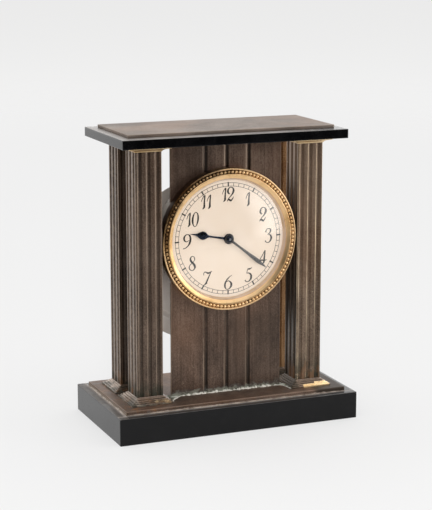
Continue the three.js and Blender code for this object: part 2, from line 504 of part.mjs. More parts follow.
const ESCAPE_R = 4.8;
{
  const [x, z] = P.escape;
  const step = (2 * Math.PI) / TEETH.escape;
  const pts = [];
  for (let i = 0; i < TEETH.escape; i++) pts.push(polar(x, z, 3.7, (i - 0.12) * step), polar(x, z, ESCAPE_R, (i + 0.2) * step), polar(x, z, 3.7, (i + 0.2) * step));
  add(
    "escape_wheel",
    join(arbor(P.escape, 0.45), toothed(P.escape, TEETH.escapePin, MOD.fourth, facing(P.escape, P.fourth, TEETH.escapePin), -0.4, 1.4, { pinion: true }), alongY(pts, 2.6, 3.2)),
    STEEL,
    "movement",
  );
}
{
  // lever: two pallets standing just off the escape wheel's tips, and a fork towards the balance
  const E = P.escape;
  const L = P.lever;
  const toE = angle(L, E);
  const toB = angle(L, P.balance);
  const pallet = (a) => alongY([polar(...E, 5.2, a - 3.4 * deg), polar(...E, 5.2, a + 3.4 * deg), polar(...E, 6.3, a + 2.8 * deg), polar(...E, 6.3, a - 2.8 * deg)], 2.5, 3.3);
  const [a1, a2] = [158 * deg, 218 * deg];
  const arm = (to) => {
    const a = angle(L, to);
    const n = [-Math.sin(a) * 0.4, Math.cos(a) * 0.4];
    return alongY([[L[0] - n[0], L[1] - n[1]], [to[0] - n[0], to[1] - n[1]], [to[0] + n[0], to[1] + n[1]], [L[0] + n[0], L[1] + n[1]]], 2.5, 3.3);
  };
  const at = (u, w) => [L[0] + u * Math.cos(toB) - w * Math.sin(toB), L[1] + u * Math.sin(toB) + w * Math.cos(toB)];
  const fork = alongY([at(0, -0.5), at(4.6, -0.35), at(6.4, -0.95), at(6.4, -0.4), at(5.4, 0), at(6.4, 0.4), at(6.4, 0.95), at(4.6, 0.35), at(0, 0.5)], 2.5, 3.3);
  add("pallet_lever", join(arbor(L, 0.45), rod(...L, 1.0, 2.5, 3.3, 10), arm(polar(...E, 6.1, a1)), arm(polar(...E, 6.1, a2)), pallet(a1), pallet(a2), fork), STEEL, "movement");
  if (!Number.isFinite(toE)) throw new Error("lever");
}
{
  const W = P.balance;
  const toL = angle(W, P.lever);
  const rim = alongY(circle(...W, 9.0, 28), 9.0, 10.2, [circle(...W, 7.9, 28)]);
  const [c, s] = [Math.cos(toL), Math.sin(toL)];
  const at = (u, w) => [W[0] + u * c - w * s, W[1] + u * s + w * c];
  const spoke = alongY([at(-8.2, -0.7), at(8.2, -0.7), at(8.2, 0.7), at(-8.2, 0.7)], 9.2, 10.0);
  const staff = turned([[0, -9.2], [PIV, -9.2], [PIV, -7.85], [0.6, -7.85], [0.6, 11.2], [PIV, 11.2], [PIV, 12.6], [0, 12.6]], 8, ...W);
  add("balance_wheel", join(rim, spoke, staff, rod(...W, 2.0, 1.2, 2.0, 14), rod(...polar(...W, 1.55, toL), 0.25, 1.5, 3.3, 6)), BRASS, "movement");
  add("hairspring", spiral(W, 1.3, 5.4, 4, 0.25, 9, toL, 10.5, 11.0), BLUED, "movement");
  // cock: foot on the back plate, arm over the balance
  const a = angle(COCK_FOOT, W);
  const n = [-Math.sin(a) * 2.2, Math.cos(a) * 2.2];
  const end = polar(...W, 2.2, a);
  const arm = alongY([[COCK_FOOT[0] - n[0], COCK_FOOT[1] - n[1]], [end[0] - n[0], end[1] - n[1]], [end[0] + n[0], end[1] + n[1]], [COCK_FOOT[0] + n[0], COCK_FOOT[1] + n[1]]], 11.5, 12.9);
  add(
    "balance_cock",
    cut(join(arm, rod(...COCK_FOOT, 2.6, BACK_PLATE[1] + 0.02, 12.9, 12), rod(...COCK_FOOT, 0.95, 5.7, 7.4, 8), rod(...COCK_FOOT, 1.6, 12.5, 13.9, 10)), rod(...W, 0.52, 11, 14, 8)),
    BRASS,
    "movement",
  );
}

// ---------------------------------------------------------------- motion work and hand setting
add(
  "centre_arbor",
  join(
    turned([[0, -22.3], [0.7, -22.3], [0.7, -21.02], [0.95, -21.02], [0.95, -20.55], [1.3, -20.55], [1.3, -9.75], [1.0, -9.75], [1.0, 33.6], [0, 33.6]], 12, ...P.centre),
    toothed(P.centre, TEETH.cannon, MOD.motion, facing(P.centre, P.minute, TEETH.cannon), -10.7, -9.8, { pinion: true }),
  ),
  STEEL,
  "movement",
);
add(
  "minute_wheel",
  cut(
    join(
      toothed(P.minute, TEETH.minute, MOD.motion, angle(P.minute, P.centre), -10.6, -9.9, { windows: 3, hub: 2.6 }),
      toothed(P.minute, TEETH.minutePin, MOD.motion, facing(P.minute, P.centre, TEETH.minutePin), -12.1, -10.3, { pinion: true }),
    ),
    rod(...P.minute, 0.85, -13, -9, 10),
  ),
  BRASS,
  "movement",
);
add(
  "hour_wheel",
  cut(
    join(toothed(P.centre, TEETH.hour, MOD.motion, angle(P.centre, P.minute), -12.0, -11.3, { windows: 3, hub: 3.2 }), rod(...P.centre, 1.9, -20.3, -11.0, 12)),
    rod(...P.centre, 1.5, -22, -9, 12),
  ),
  BRASS,
  "movement",
);
{
  const grip = [];
  for (let i = 0; i < 36; i++) grip.push(polar(...P.centre, i % 2 ? 5.5 : 5.05, (i * Math.PI) / 18));
  add("set_knob", cut(join(alongY(grip, 31, 37), rod(...P.centre, 2.6, 29, 31.5, 14)), rod(...P.centre, 1.06, 28, 33.7, 12)), BRASS, "clock");
}
{
  const [x, z] = P.barrel;
  const wing = [];
  for (const [u, v] of [[2.6, 31.6], [5.0, 32.2], [8.2, 31.8], [9.3, 33.4], [9.0, 36.6], [7.0, 38.8], [4.2, 38.4], [2.4, 36.6]]) wing.push([u, v]);
  const outline = [...wing.map(([u, v]) => [x + u, v]), ...wing.map(([u, v]) => [x - u, v]).reverse()];
  const plate = alongZ(outline, z - 0.9, z + 0.9);
  add("winding_key", cut(join(rod(x, z, 3.1, 29, 36.4, 14), plate), rod(x, z, 1.66, 28, 33.6, 12)), BRASS, "clock");
}

export default clock;
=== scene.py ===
"""Desk clock, visual model: stone slabs, fluted bronze columns, a grooved panel and a gilt dial."""
import math

import bmesh
import bpy
from mathutils import Matrix, Vector, noise


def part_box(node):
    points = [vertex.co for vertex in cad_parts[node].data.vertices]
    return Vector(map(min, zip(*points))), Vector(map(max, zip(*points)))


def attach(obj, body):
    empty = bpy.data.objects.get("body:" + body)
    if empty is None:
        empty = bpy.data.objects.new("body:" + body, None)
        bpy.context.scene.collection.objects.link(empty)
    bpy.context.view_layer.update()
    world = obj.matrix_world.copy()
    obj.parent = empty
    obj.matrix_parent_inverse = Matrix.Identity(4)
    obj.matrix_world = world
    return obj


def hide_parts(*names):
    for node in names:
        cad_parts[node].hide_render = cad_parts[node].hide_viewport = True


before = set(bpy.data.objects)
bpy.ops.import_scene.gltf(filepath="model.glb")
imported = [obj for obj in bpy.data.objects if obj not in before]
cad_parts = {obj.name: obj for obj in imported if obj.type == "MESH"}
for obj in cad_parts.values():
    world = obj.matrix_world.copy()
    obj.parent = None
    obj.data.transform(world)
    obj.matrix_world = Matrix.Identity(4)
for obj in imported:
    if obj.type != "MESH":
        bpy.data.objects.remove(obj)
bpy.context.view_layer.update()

MM = 0.001
TAU = 2 * math.pi
CZ = 111.4  # height of the hand arbor
DIAL_Y = -18.9


# ------------------------------------------------------------------ node materials
class Nodes:
    """A material's node tree, with short names for the nodes used here."""

    def __init__(self, name):
        self.mat = bpy.data.materials.new(name)
        self.mat.use_nodes = True
        self.tree = self.mat.node_tree
        self.tree.nodes.clear()
        self.coord = self.add("ShaderNodeTexCoord")

    def add(self, kind, **props):
        n = self.tree.nodes.new(kind)
        for k, v in props.items():
            setattr(n, k, v)
        return n

    def put(self, socket, value):
        if isinstance(value, bpy.types.NodeSocket):
            self.tree.links.new(value, socket)
        else:
            socket.default_value = value

    def place(self, scale=(1, 1, 1), offset=(0, 0, 0)):
        m = self.add("ShaderNodeMapping")
        self.put(m.inputs["Vector"], self.coord.outputs["Object"])
        m.inputs["Scale"].default_value = scale
        m.inputs["Location"].default_value = offset
        return m.outputs["Vector"]

    def noise(self, scale, stretch=(1, 1, 1), detail=4.0, rough=0.55, twist=0.0, offset=(0, 0, 0)):
        n = self.add("ShaderNodeTexNoise")
        self.put(n.inputs["Vector"], self.place(stretch, offset))
        n.inputs["Scale"].default_value = scale
        n.inputs["Detail"].default_value = detail
        n.inputs["Roughness"].default_value = rough
        n.inputs["Distortion"].default_value = twist
        return n.outputs["Fac"]

    def cells(self, scale, stretch=(1, 1, 1), feature="F1"):
        n = self.add("ShaderNodeTexVoronoi", feature=feature)
        self.put(n.inputs["Vector"], self.place(stretch))
        n.inputs["Scale"].default_value = scale
        return n.outputs["Distance"]

    def ramp(self, fac, stops, mode="LINEAR"):
        n = self.add("ShaderNodeValToRGB")
        n.color_ramp.interpolation = mode
        while len(n.color_ramp.elements) < len(stops):
            n.color_ramp.elements.new(0.5)
        for e, (at, colour) in zip(n.color_ramp.elements, stops):
            e.position = at
            e.color = (*colour, 1) if len(colour) == 3 else colour
        self.put(n.inputs["Fac"], fac)
        return n.outputs["Color"]

    def span(self, value, a, b, c=0.0, d=1.0, smooth=True):
        n = self.add("ShaderNodeMapRange", interpolation_type="SMOOTHSTEP" if smooth else "LINEAR")
        self.put(n.inputs["Value"], value)
        for k, v in zip(("From Min", "From Max", "To Min", "To Max"), (a, b, c, d)):
            n.inputs[k].default_value = v
        return n.outputs["Result"]

    def mix(self, fac, a, b, how="MIX"):
        n = self.add("ShaderNodeMix", data_type="RGBA", blend_type=how)
        self.put(n.inputs[0], fac)
        for socket, v in ((n.inputs[6], a), (n.inputs[7], b)):
            self.put(socket, (*v, 1) if isinstance(v, tuple) and len(v) == 3 else v)
        return n.outputs[2]

    def math(self, how, a, b=0.0):
        n = self.add("ShaderNodeMath", operation=how, use_clamp=False)
        self.put(n.inputs[0], a)
        self.put(n.inputs[1], b)
        return n.outputs[0]

    def attribute(self, name):
        n = self.add("ShaderNodeAttribute", attribute_name=name)
        return n.outputs["Fac"]

    def axis(self, which, of="Object"):
        n = self.add("ShaderNodeSeparateXYZ")
        self.put(n.inputs[0], self.coord.outputs[of])
        return n.outputs[which]

    def both(self, *values):
        out = values[0]
        for v in values[1:]:
            out = self.math("MULTIPLY", out, v)
        return out

    def zone(self, soft, **limits):
        """1 inside a box in millimetres, falling to 0 over soft millimetres outside it."""
        out = []
        for which, (lo, hi) in limits.items():
            v = self.axis(which)
            out.append(self.span(v, (lo - soft) * MM, lo * MM))
            out.append(self.span(v, hi * MM, (hi + soft) * MM, 1.0, 0.0))
        return self.both(*out)

    def bump(self, height, strength, distance, base=None):
        n = self.add("ShaderNodeBump")
        self.put(n.inputs["Height"], height)
        n.inputs["Strength"].default_value = strength
        n.inputs["Distance"].default_value = distance
        if base is not None:
            self.put(n.inputs["Normal"], base)
        return n.outputs["Normal"]

    def surface(self, colour, roughness, metallic=0.0, normal=None, **more):
        s = self.add("ShaderNodeBsdfPrincipled")
        self.put(s.inputs["Base Color"], colour)
        self.put(s.inputs["Roughness"], roughness)
        s.inputs["Metallic"].default_value = metallic
        if normal is not None:
            self.put(s.inputs["Normal"], normal)
        for k, v in more.items():
            s.inputs[k.replace("_", " ")].default_value = v
        out = self.add("ShaderNodeOutputMaterial")
        self.put(out.inputs["Surface"], s.outputs[0])
        return self.mat


def black_stone():
    t = Nodes("polished_black_stone")
    cloud = t.noise(55, detail=6, rough=0.6, twist=0.8)
    speck = t.cells(900)
    vein = t.noise(26, detail=8, rough=0.62, twist=2.4, offset=(0.3, 0.1, 0.2))
    line = t.span(t.math("ABSOLUTE", t.math("SUBTRACT", vein, 0.5)), 0.0, 0.012, 1.0, 0.0)
    col = t.ramp(cloud, [(0.3, (0.0004, 0.0004, 0.0006)), (0.7, (0.0014, 0.0013, 0.0016))])
    col = t.mix(t.math("MULTIPLY", line, 0.16), col, (0.022, 0.021, 0.021))
    col = t.mix(t.span(speck, 0.0, 0.25, 0.06, 0.0), col, (0.03, 0.03, 0.033))
    # a little dust lies on the upward margins; the sheen is the same dust seen at a low angle
    up = t.both(t.span(t.axis("Z", "Normal"), 0.75, 0.97), t.span(t.noise(150, detail=4), 0.3, 0.7, 0.6, 1.0))
    low = t.span(t.axis("Z"), 0.10, 0.16, 1.0, 0.0)
    left = t.span(t.axis("X"), -0.0696, -0.0694, 1.0, 0.0)
    # painted reflection: the film on the top slab's margins, strongest towards the left end, is partly dust and partly
    # a painted reflection; near the plate's foot on the base it is a pale line of dust
    high = t.both(t.span(t.axis("Z"), 0.10, 0.16), t.span(t.axis("X"), 0.02, 0.066, 0.95, 0.1))
    foot_front = t.both(t.span(t.axis("Y"), -0.0376, -0.0351), t.span(t.axis("Y"), -0.0346, -0.0344, 0.75, 0.0))
    foot_left = t.both(t.span(t.axis("X"), -0.0718, -0.0699), left, t.span(t.axis("Y"), -0.0350, -0.0348))
    dust = t.both(up, low, left, t.span(t.noise(85, detail=5, rough=0.7, offset=(0.7, 0.4, 0.2)), 0.35, 0.6, 0.5, 0.95))
    col = t.mix(dust, col, t.ramp(t.noise(190, detail=5, rough=0.7), [(0.4, (0.050, 0.042, 0.036)), (0.6, (0.105, 0.082, 0.066))]))
    film = t.math("MULTIPLY", up, t.math("ADD", high, t.math("MULTIPLY", low, t.math("ADD", foot_front, foot_left))))
    film = t.math("MULTIPLY", film, 0.55)
    col = t.mix(film, col, (0.42, 0.37, 0.335))
    worn = t.span(t.math("ADD", t.attribute("wear_and_painted_light"), t.math("MULTIPLY", t.math("SUBTRACT", cloud, 0.5), 0.6)), 0.5, 1.0)
    col = t.mix(t.math("MULTIPLY", worn, 0.22), col, (0.36, 0.33, 0.31))
    rough = t.math("ADD", t.span(cloud, 0.25, 0.75, 0.13, 0.24), t.math("MULTIPLY", t.math("MAXIMUM", film, dust), 0.42))
    bump = t.bump(t.noise(380, detail=3), 0.05, 0.0002)
    return t.surface(col, rough, normal=bump, IOR=1.33, Sheen_Weight=0.2, Sheen_Roughness=0.3)


def bronze(name, along="z", base=((0.034, 0.0225, 0.016), (0.104, 0.071, 0.051), (0.19, 0.135, 0.099)), worn=(0.42, 0.31, 0.21), wear_and_painted_light=0.3,
           rough=(0.33, 0.50), foot=None, gold=0.0, dirt_and_shade_gain=0.6, rubbed_and_painted_light=(), stains=0.0, damp=None, coat=0.3, spread=0.10, patchy=False, brushed=0.2, shade=()):
    """Dark lacquered bronze: brushed along one axis, worn light on its edges, soiled in its corners, with painted
    highlights and painted shade where pieces paint them, and zones of painted light and shade.
    """
    t = Nodes(name)
    long = {"x": (0.03, 1, 1), "y": (1, 0.03, 1), "z": (1, 1, 0.03)}[along]
    streak = t.noise(900, long, detail=5, rough=0.65)
    hair = t.noise(4200, long, detail=2, rough=0.5)
    blotch = t.noise(38, (1, 1, 0.6), detail=6, rough=0.62, twist=0.6)
    grain = t.noise(1900, (1, 1, 0.7), detail=3, rough=0.6)
    fleck = t.noise(420, detail=5, rough=0.7)
    tone = t.math("ADD", t.math("MULTIPLY", streak, brushed), t.math("MULTIPLY", blotch, 0.40))
    tone = t.math("ADD", tone, t.math("MULTIPLY", grain, 0.60 - brushed))
    col = t.ramp(tone, [(0.5 - spread, base[0]), (0.5, base[1]), (0.5 + spread, base[2])])
    warm = t.span(t.noise(23, (1, 1, 0.5), detail=3, offset=(0.7, 0.2, 0.4)), 0.42, 0.7)
    col = t.mix(t.math("MULTIPLY", warm, 0.35 + gold), col, tuple(c * k for c, k in zip(base[2], (1.15, 0.86, 0.66))))
    if stains:
        rust = t.span(t.noise(150, detail=5, rough=0.7, offset=(0.9, 0.3, 0.6)), 0.56, 0.68)
        grey = t.span(t.noise(120, detail=5, rough=0.65, offset=(0.2, 0.8, 0.1)), 0.54, 0.66)
        side = t.span(t.axis("X"), -66 * MM, -38 * MM, 1.0, 0.25)
        col = t.mix(t.math("MULTIPLY", t.math("MULTIPLY", grey, side), stains), col, (0.17, 0.18, 0.185))
        col = t.mix(t.math("MULTIPLY", t.math("MULTIPLY", rust, side), stains), col, (0.30, 0.14, 0.055))
    # edge wear, with painted highlights on flute and groove walls and on paler faces where pieces paint them
    edge = t.attribute("wear_and_painted_light")
    rub_and_painted_light = t.span(t.math("ADD", edge, t.math("MULTIPLY", t.math("SUBTRACT", fleck, 0.5), 0.9)), 0.35, 0.95)
    if patchy:
        rub_and_painted_light = t.math("MULTIPLY", rub_and_painted_light, t.span(t.noise(55, (1, 1, 0.3), detail=6, rough=0.7, offset=(0.4, 0.9, 0.7)), 0.40, 0.62, 0.25, 1.0))
    col = t.mix(t.math("MULTIPLY", rub_and_painted_light, wear_and_painted_light), col, worn)
    # crease dirt, with painted shade in flutes and grooves and on shaded faces where pieces paint it
    dirt_and_painted_shade = t.span(t.math("ADD", t.attribute("grime_and_painted_shade"), t.math("MULTIPLY", t.math("SUBTRACT", fleck, 0.5), 0.5)), 0.2, 0.9)
    col = t.mix(t.math("MULTIPLY", dirt_and_painted_shade, dirt_and_shade_gain), col, (0.012, 0.008, 0.005))
    for box, soft, bright, ragged in rubbed_and_painted_light:
        # metal rubbed bright by handling, and painted highlights and painted light on lit sides
        spot = t.math("ADD", t.zone(soft, **box), t.math("MULTIPLY", t.math("SUBTRACT", fleck, 0.5), ragged))
        col = t.mix(t.span(spot, 0.4, 0.85), col, bright)
    # painted shade and painted light: a zone mixed towards a darker or lighter tone
    for box, soft, tone_to, amount in shade:
        col = t.mix(t.math("MULTIPLY", t.zone(soft, **box), amount), col, tone_to)
    spots = t.span(t.noise(260, detail=4, rough=0.75, offset=(0.2, 0.5, 0.1)), 0.64, 0.74)
    col = t.mix(t.math("MULTIPLY", spots, 0.4), col, (0.20, 0.10, 0.045))
    nick = t.span(t.noise(520, detail=3, rough=0.8, offset=(0.6, 0.1, 0.3)), 0.68, 0.75)
    col = t.mix(t.math("MULTIPLY", nick, 0.45), col, worn)
    if damp is not None:
        # dark green and rust where damp has stood
        low, high = damp
        rise = t.span(t.axis("Z"), low * MM, high * MM, 1.0, 0.0)
        wet = t.span(t.math("ADD", t.noise(120, (1, 1, 0.7), detail=5, rough=0.7, offset=(0.3, 0.3, 0.8)), t.math("MULTIPLY", rise, 0.22)), 0.60, 0.70)
        col = t.mix(t.both(wet, rise, t.span(fleck, 0.3, 0.6, 0.6, 1.0)), col, (0.034, 0.034, 0.022))
        rusty = t.span(t.math("ADD", t.noise(95, (1, 1, 0.5), detail=5, rough=0.7, offset=(0.8, 0.6, 0.2)), t.math("MULTIPLY", rise, 0.12)), 0.61, 0.72)
        col = t.mix(t.math("MULTIPLY", t.both(rusty, rise), 0.8), col, (0.20, 0.108, 0.056))
    if foot is not None:
        # grey and pale green bloom, thickest at the foot
        low, high = foot
        rise = t.span(t.axis("Z"), low * MM, high * MM, 1.0, 0.0)
        veil = t.span(t.math("ADD", t.noise(210, (1, 1, 1.6), detail=6, rough=0.7, twist=0.5, offset=(0.1, 0.9, 0.4)), t.math("MULTIPLY", rise, 0.30)), 0.58, 0.74)
        col = t.mix(t.both(veil, rise, t.span(fleck, 0.35, 0.65, 0.55, 0.95)), col, (0.135, 0.128, 0.120))
        patch = t.span(t.math("ADD", t.noise(240, (1, 1, 1.8), detail=6, rough=0.72, twist=0.5), t.math("MULTIPLY", rise, 0.30)), 0.70, 0.80)
        col = t.mix(t.math("MULTIPLY", t.math("MULTIPLY", patch, rise), 0.85), col, (0.36, 0.37, 0.31))
    r = t.span(t.math("ADD", t.math("MULTIPLY", streak, 0.6), t.math("MULTIPLY", fleck, 0.4)), 0.3, 0.7, *rough)
    n = t.bump(hair, 0.12, 0.00012)
    n = t.bump(streak, 0.18, 0.0002, n)
    n = t.bump(grain, 0.14, 0.0001, n)
    n = t.bump(blotch, 0.08, 0.0012, n)
    return t.surface(col, r, 0.82, n, Coat_Weight=coat, Coat_Roughness=0.28)


def gilt(name, tint=(0.86, 0.60, 0.27), rough=(0.20, 0.36)):
    t = Nodes(name)
    cloud = t.noise(60, detail=5, rough=0.6)
    fine = t.noise(1500, detail=3)
    deep = tuple(c * k for c, k in zip(tint, (0.72, 0.60, 0.42)))
    pale = tuple(min(1, c * k) for c, k in zip(tint, (1.06, 1.10, 1.25)))
    col = t.ramp(cloud, [(0.3, deep), (0.5, tint), (0.72, pale)])
    stain = t.noise(170, detail=6, rough=0.68, offset=(0.6, 0.2, 0.8))
    # stains and crease dirt, with painted shade where the bezel and beads paint it
    dirt_and_painted_shade = t.span(t.math("ADD", t.attribute("grime_and_painted_shade"), t.math("MULTIPLY", t.math("SUBTRACT", stain, 0.5), 0.9)), 0.22, 0.85)
    col = t.mix(dirt_and_painted_shade, col, (0.085, 0.040, 0.014))
    # edge wear, with a painted highlight on the bezel's lip and a painted reflection on its inner wall
    rub_and_painted_light = t.span(t.math("ADD", t.attribute("wear_and_painted_light"), t.math("MULTIPLY", t.math("SUBTRACT", fine, 0.5), 0.5)), 0.4, 1.0)
    col = t.mix(t.math("MULTIPLY", rub_and_painted_light, 0.5), col, pale)
    spot = t.span(t.noise(330, detail=4, rough=0.7, offset=(0.4, 0.3, 0)), 0.64, 0.74)
    col = t.mix(t.math("MULTIPLY", spot, 0.3), col, (0.30, 0.15, 0.045))
    r = t.span(t.math("ADD", t.math("MULTIPLY", cloud, 0.7), t.math("MULTIPLY", fine, 0.3)), 0.3, 0.7, *rough)
    n = t.bump(t.noise(700, detail=4), 0.06, 0.0002)
    return t.surface(col, r, 1.0, n)


def turned_metal(name, dark, light, rough, along=(1, 0.05, 1), scale=700):
    """Plain machined metal with fine tool marks and a little tarnish."""
    t = Nodes(name)
    mark = t.noise(scale, along, detail=4, rough=0.6)
    cloud = t.noise(70, detail=5, rough=0.6)
    col = t.ramp(t.math("ADD", t.math("MULTIPLY", mark, 0.4), t.math("MULTIPLY", cloud, 0.6)), [(0.34, dark), (0.64, light)])
    rub_and_painted_light = t.span(t.attribute("wear_and_painted_light"), 0.3, 1.0)
    col = t.mix(t.math("MULTIPLY", rub_and_painted_light, 0.4), col, tuple(min(1, c * 1.25) for c in light))
    dirt_and_painted_shade = t.span(t.attribute("grime_and_painted_shade"), 0.2, 0.9)
    col = t.mix(t.math("MULTIPLY", dirt_and_painted_shade, 0.6), col, tuple(c * 0.25 for c in dark))
    r = t.span(mark, 0.3, 0.7, *rough)
    n = t.bump(mark, 0.08, 0.0001)
    return t.surface(col, r, 1.0, n)


def satin_nickel():
    """Blasted nickel plate, pale and slightly warm, its pale tone brightened as painted light for the cover's inner
    face; the cover's outside takes a darker grey.
    """
    t = Nodes("satin_nickel")
    cloud = t.noise(50, detail=5, rough=0.6)
    grain = t.noise(2600, detail=2)
    col = t.ramp(cloud, [(0.3, (0.86, 0.79, 0.725)), (0.7, (0.94, 0.885, 0.83))])
    # crease dirt, with painted shade on the upper part of the can and of the cover's inner face
    col = t.mix(t.math("MULTIPLY", t.span(t.attribute("grime_and_painted_shade"), 0.2, 0.9), 0.8), col, (0.10, 0.075, 0.05))
    outside_grey = t.ramp(t.noise(260, (1, 0.2, 1), detail=6, rough=0.7), [(0.30, (0.315, 0.295, 0.27)), (0.52, (0.375, 0.35, 0.325)), (0.72, (0.42, 0.395, 0.37))])
    col = t.mix(t.attribute("wear_and_painted_light"), col, outside_grey)
    return t.surface(col, t.span(grain, 0.3, 0.7, 0.42, 0.56), 0.15, t.bump(grain, 0.1, 0.0001))


def cream_paint():
    t = Nodes("dial_cream")
    cloud = t.noise(45, detail=5, rough=0.6)
    grain = t.noise(1800, detail=3)
    col = t.ramp(cloud, [(0.3, (0.73, 0.60, 0.485)), (0.5, (0.755, 0.63, 0.52)), (0.7, (0.775, 0.66, 0.56))])
    fox = t.span(t.noise(210, detail=5, rough=0.7, offset=(0.1, 0.6, 0.3)), 0.68, 0.78)
    col = t.mix(t.math("MULTIPLY", fox, 0.16), col, (0.62, 0.45, 0.27))
    r = t.span(grain, 0.3, 0.7, 0.42, 0.58)
    return t.surface(col, r, 0.0, t.bump(grain, 0.06, 0.0001))


def ink():
    t = Nodes("dial_print")
    fade = t.noise(520, detail=4)
    col = t.ramp(fade, [(0.3, (0.006, 0.005, 0.004)), (0.7, (0.020, 0.016, 0.013))])
    return t.surface(col, t.span(fade, 0.3, 0.7, 0.42, 0.6))


def bloom():
    """The dry green-white crust in the corners over the base plate, palest along its rim."""
    t = Nodes("verdigris_crust")
    a = t.noise(260, detail=6, rough=0.7, twist=0.6)
    b = t.noise(1400, detail=3)
    col = t.ramp(a, [(0.30, (0.045, 0.035, 0.026)), (0.40, (0.095, 0.090, 0.068)), (0.49, (0.19, 0.20, 0.16)), (0.58, (0.36, 0.365, 0.32))])
    rim = t.span(t.math("ADD", t.attribute("rim"), t.math("MULTIPLY", t.math("SUBTRACT", a, 0.5), 2.4)), 0.35, 1.0)
    col = t.mix(rim, col, (0.50, 0.475, 0.425))
    col = t.mix(t.span(b, 0.58, 0.75, 0.0, 0.4), col, (0.10, 0.07, 0.045))
    return t.surface(col, t.span(b, 0.3, 0.7, 0.75, 0.95), 0.0, t.bump(b, 0.3, 0.0003))


def dried_polish():
    """Tan polish dried in the joint at the base plate's foot."""
    t = Nodes("dried_polish")
    a = t.noise(240, detail=6, rough=0.7, twist=0.5)
    b = t.noise(1400, detail=3)
    col = t.ramp(a, [(0.34, (0.085, 0.062, 0.047)), (0.48, (0.20, 0.162, 0.132)), (0.66, (0.33, 0.280, 0.236))])
    col = t.mix(t.span(t.attribute("rim"), 0.7, 1.3, 0.0, 0.75), col, (0.44, 0.385, 0.335))
    return t.surface(col, t.span(b, 0.3, 0.7, 0.75, 0.95), 0.0, t.bump(b, 0.3, 0.0003))


def clear_glass():
    """Clear glass: the same share is reflected from either side of the surface, more at a low angle."""
    t = Nodes("dial_glass")
    facing = t.add("ShaderNodeLayerWeight")
    facing.inputs["Blend"].default_value = 0.5
    share = t.math("ADD", t.math("MULTIPLY", t.math("POWER", facing.outputs["Facing"], 5.0), 0.94), 0.035)
    clear = t.add("ShaderNodeBsdfTransparent")
    clear.inputs["Color"].default_value = (0.995, 0.995, 0.99, 1)
    gloss = t.add("ShaderNodeBsdfGlossy")
    gloss.inputs["Color"].default_value = (1, 1, 1, 1)
    t.put(gloss.inputs["Roughness"], t.span(t.noise(90, detail=4), 0.35, 0.7, 0.03, 0.09))
    both = t.add("ShaderNodeMixShader")
    t.put(both.inputs[0], share)
    t.put(both.inputs[1], clear.outputs[0])
    t.put(both.inputs[2], gloss.outputs[0])
    out = t.add("ShaderNodeOutputMaterial")
    t.put(out.inputs["Surface"], both.outputs[0])
    return t.mat


STONE = black_stone()
# panel shade zones: a painted shadow of the bezel at the upper left and painted shade at the lower right
BRONZE_PANEL = bronze("bronze_panel", "z", base=((0.048, 0.031, 0.0225), (0.118, 0.077, 0.056), (0.205, 0.142, 0.106)), worn=(0.50, 0.38, 0.28), foot=(18.4, 25.5), wear_and_painted_light=0.6, dirt_and_shade_gain=0.85, coat=0.2, brushed=0.28,
                      shade=[(dict(X=(-30, -17), Y=(-30, -10), Z=(138, 162)), 13.0, (0.030, 0.022, 0.018), 0.42), (dict(X=(6, 32), Y=(-30, -10), Z=(18, 58)), 14.0, (0.040, 0.028, 0.020), 0.34)])
BRONZE_COLUMN = bronze("bronze_column", "z", base=((0.040, 0.027, 0.0195), (0.096, 0.066, 0.048), (0.17, 0.122, 0.090)), worn=(0.56, 0.44, 0.33), wear_and_painted_light=0.5, dirt_and_shade_gain=0.55, damp=(22.4, 36), coat=0.25)
BRONZE_GOLD = bronze("bronze_column_rubbed", "z", base=((0.062, 0.041, 0.027), (0.148, 0.101, 0.070), (0.25, 0.18, 0.126)), worn=(1.0, 0.82, 0.55), gold=0.1, wear_and_painted_light=0.9, dirt_and_shade_gain=0.8, damp=(22.4, 44), coat=0.25, patchy=True,
                     shade=[(dict(X=(44, 64), Y=(-30, -10), Z=(128, 172)), 18.0, (0.30, 0.215, 0.155), 0.3)])
# painted light: the rear right column is bright where light reaches it through the gap beside the panel; its shade
# zones darken the rest
BRONZE_PAINTED_LIGHT = bronze("bronze_column_bright", "z", base=((0.15, 0.070, 0.028), (0.36, 0.195, 0.090), (0.55, 0.335, 0.175)), worn=(0.80, 0.56, 0.32), gold=0.1, wear_and_painted_light=0.5, dirt_and_shade_gain=0.5,
                       shade=[(dict(X=(51.5, 70)), 3.0, (0.075, 0.051, 0.037), 0.66), (dict(Y=(11, 40)), 3.0, (0.075, 0.051, 0.037), 0.66)])
STEP_TONES = ((0.06, 0.041, 0.031), (0.135, 0.094, 0.070), (0.22, 0.160, 0.122))
# the left plinths' left steps are painted paler as painted light from the left
BRONZE_PLINTH = bronze("bronze_plinth", "x", base=STEP_TONES, worn=(0.66, 0.49, 0.36), wear_and_painted_light=0.5, dirt_and_shade_gain=0.45, foot=(18.0, 20.5), damp=(18, 26),
                       rubbed_and_painted_light=[(dict(X=(-47, -41), Y=(-29, -27.0), Z=(18, 19.6)), 4.0, (0.50, 0.37, 0.22), 1.3)],
                       shade=[(dict(X=(-64, -59.5)), 1.5, (0.44, 0.36, 0.30), 0.85)])
# front right plinth: the gold patches on its front are painted highlights, and its left steps carry painted shade
BRONZE_PLINTH_GOLD = bronze("bronze_plinth_painted_highlight", "x", base=STEP_TONES, worn=(0.62, 0.46, 0.31), wear_and_painted_light=0.4, dirt_and_shade_gain=0.35, gold=0.2,
                            rubbed_and_painted_light=[(dict(X=(47, 61.5), Y=(-29, -27.2), Z=(18.2, 19.5)), 3.0, (0.95, 0.69, 0.38), 1.3), (dict(X=(54, 61), Y=(-29, -25), Z=(19.4, 20.4)), 1.2, (1.0, 0.76, 0.45), 1.6)],
                            shade=[(dict(X=(37, 42.2)), 1.0, (0.035, 0.032, 0.022), 0.65)])
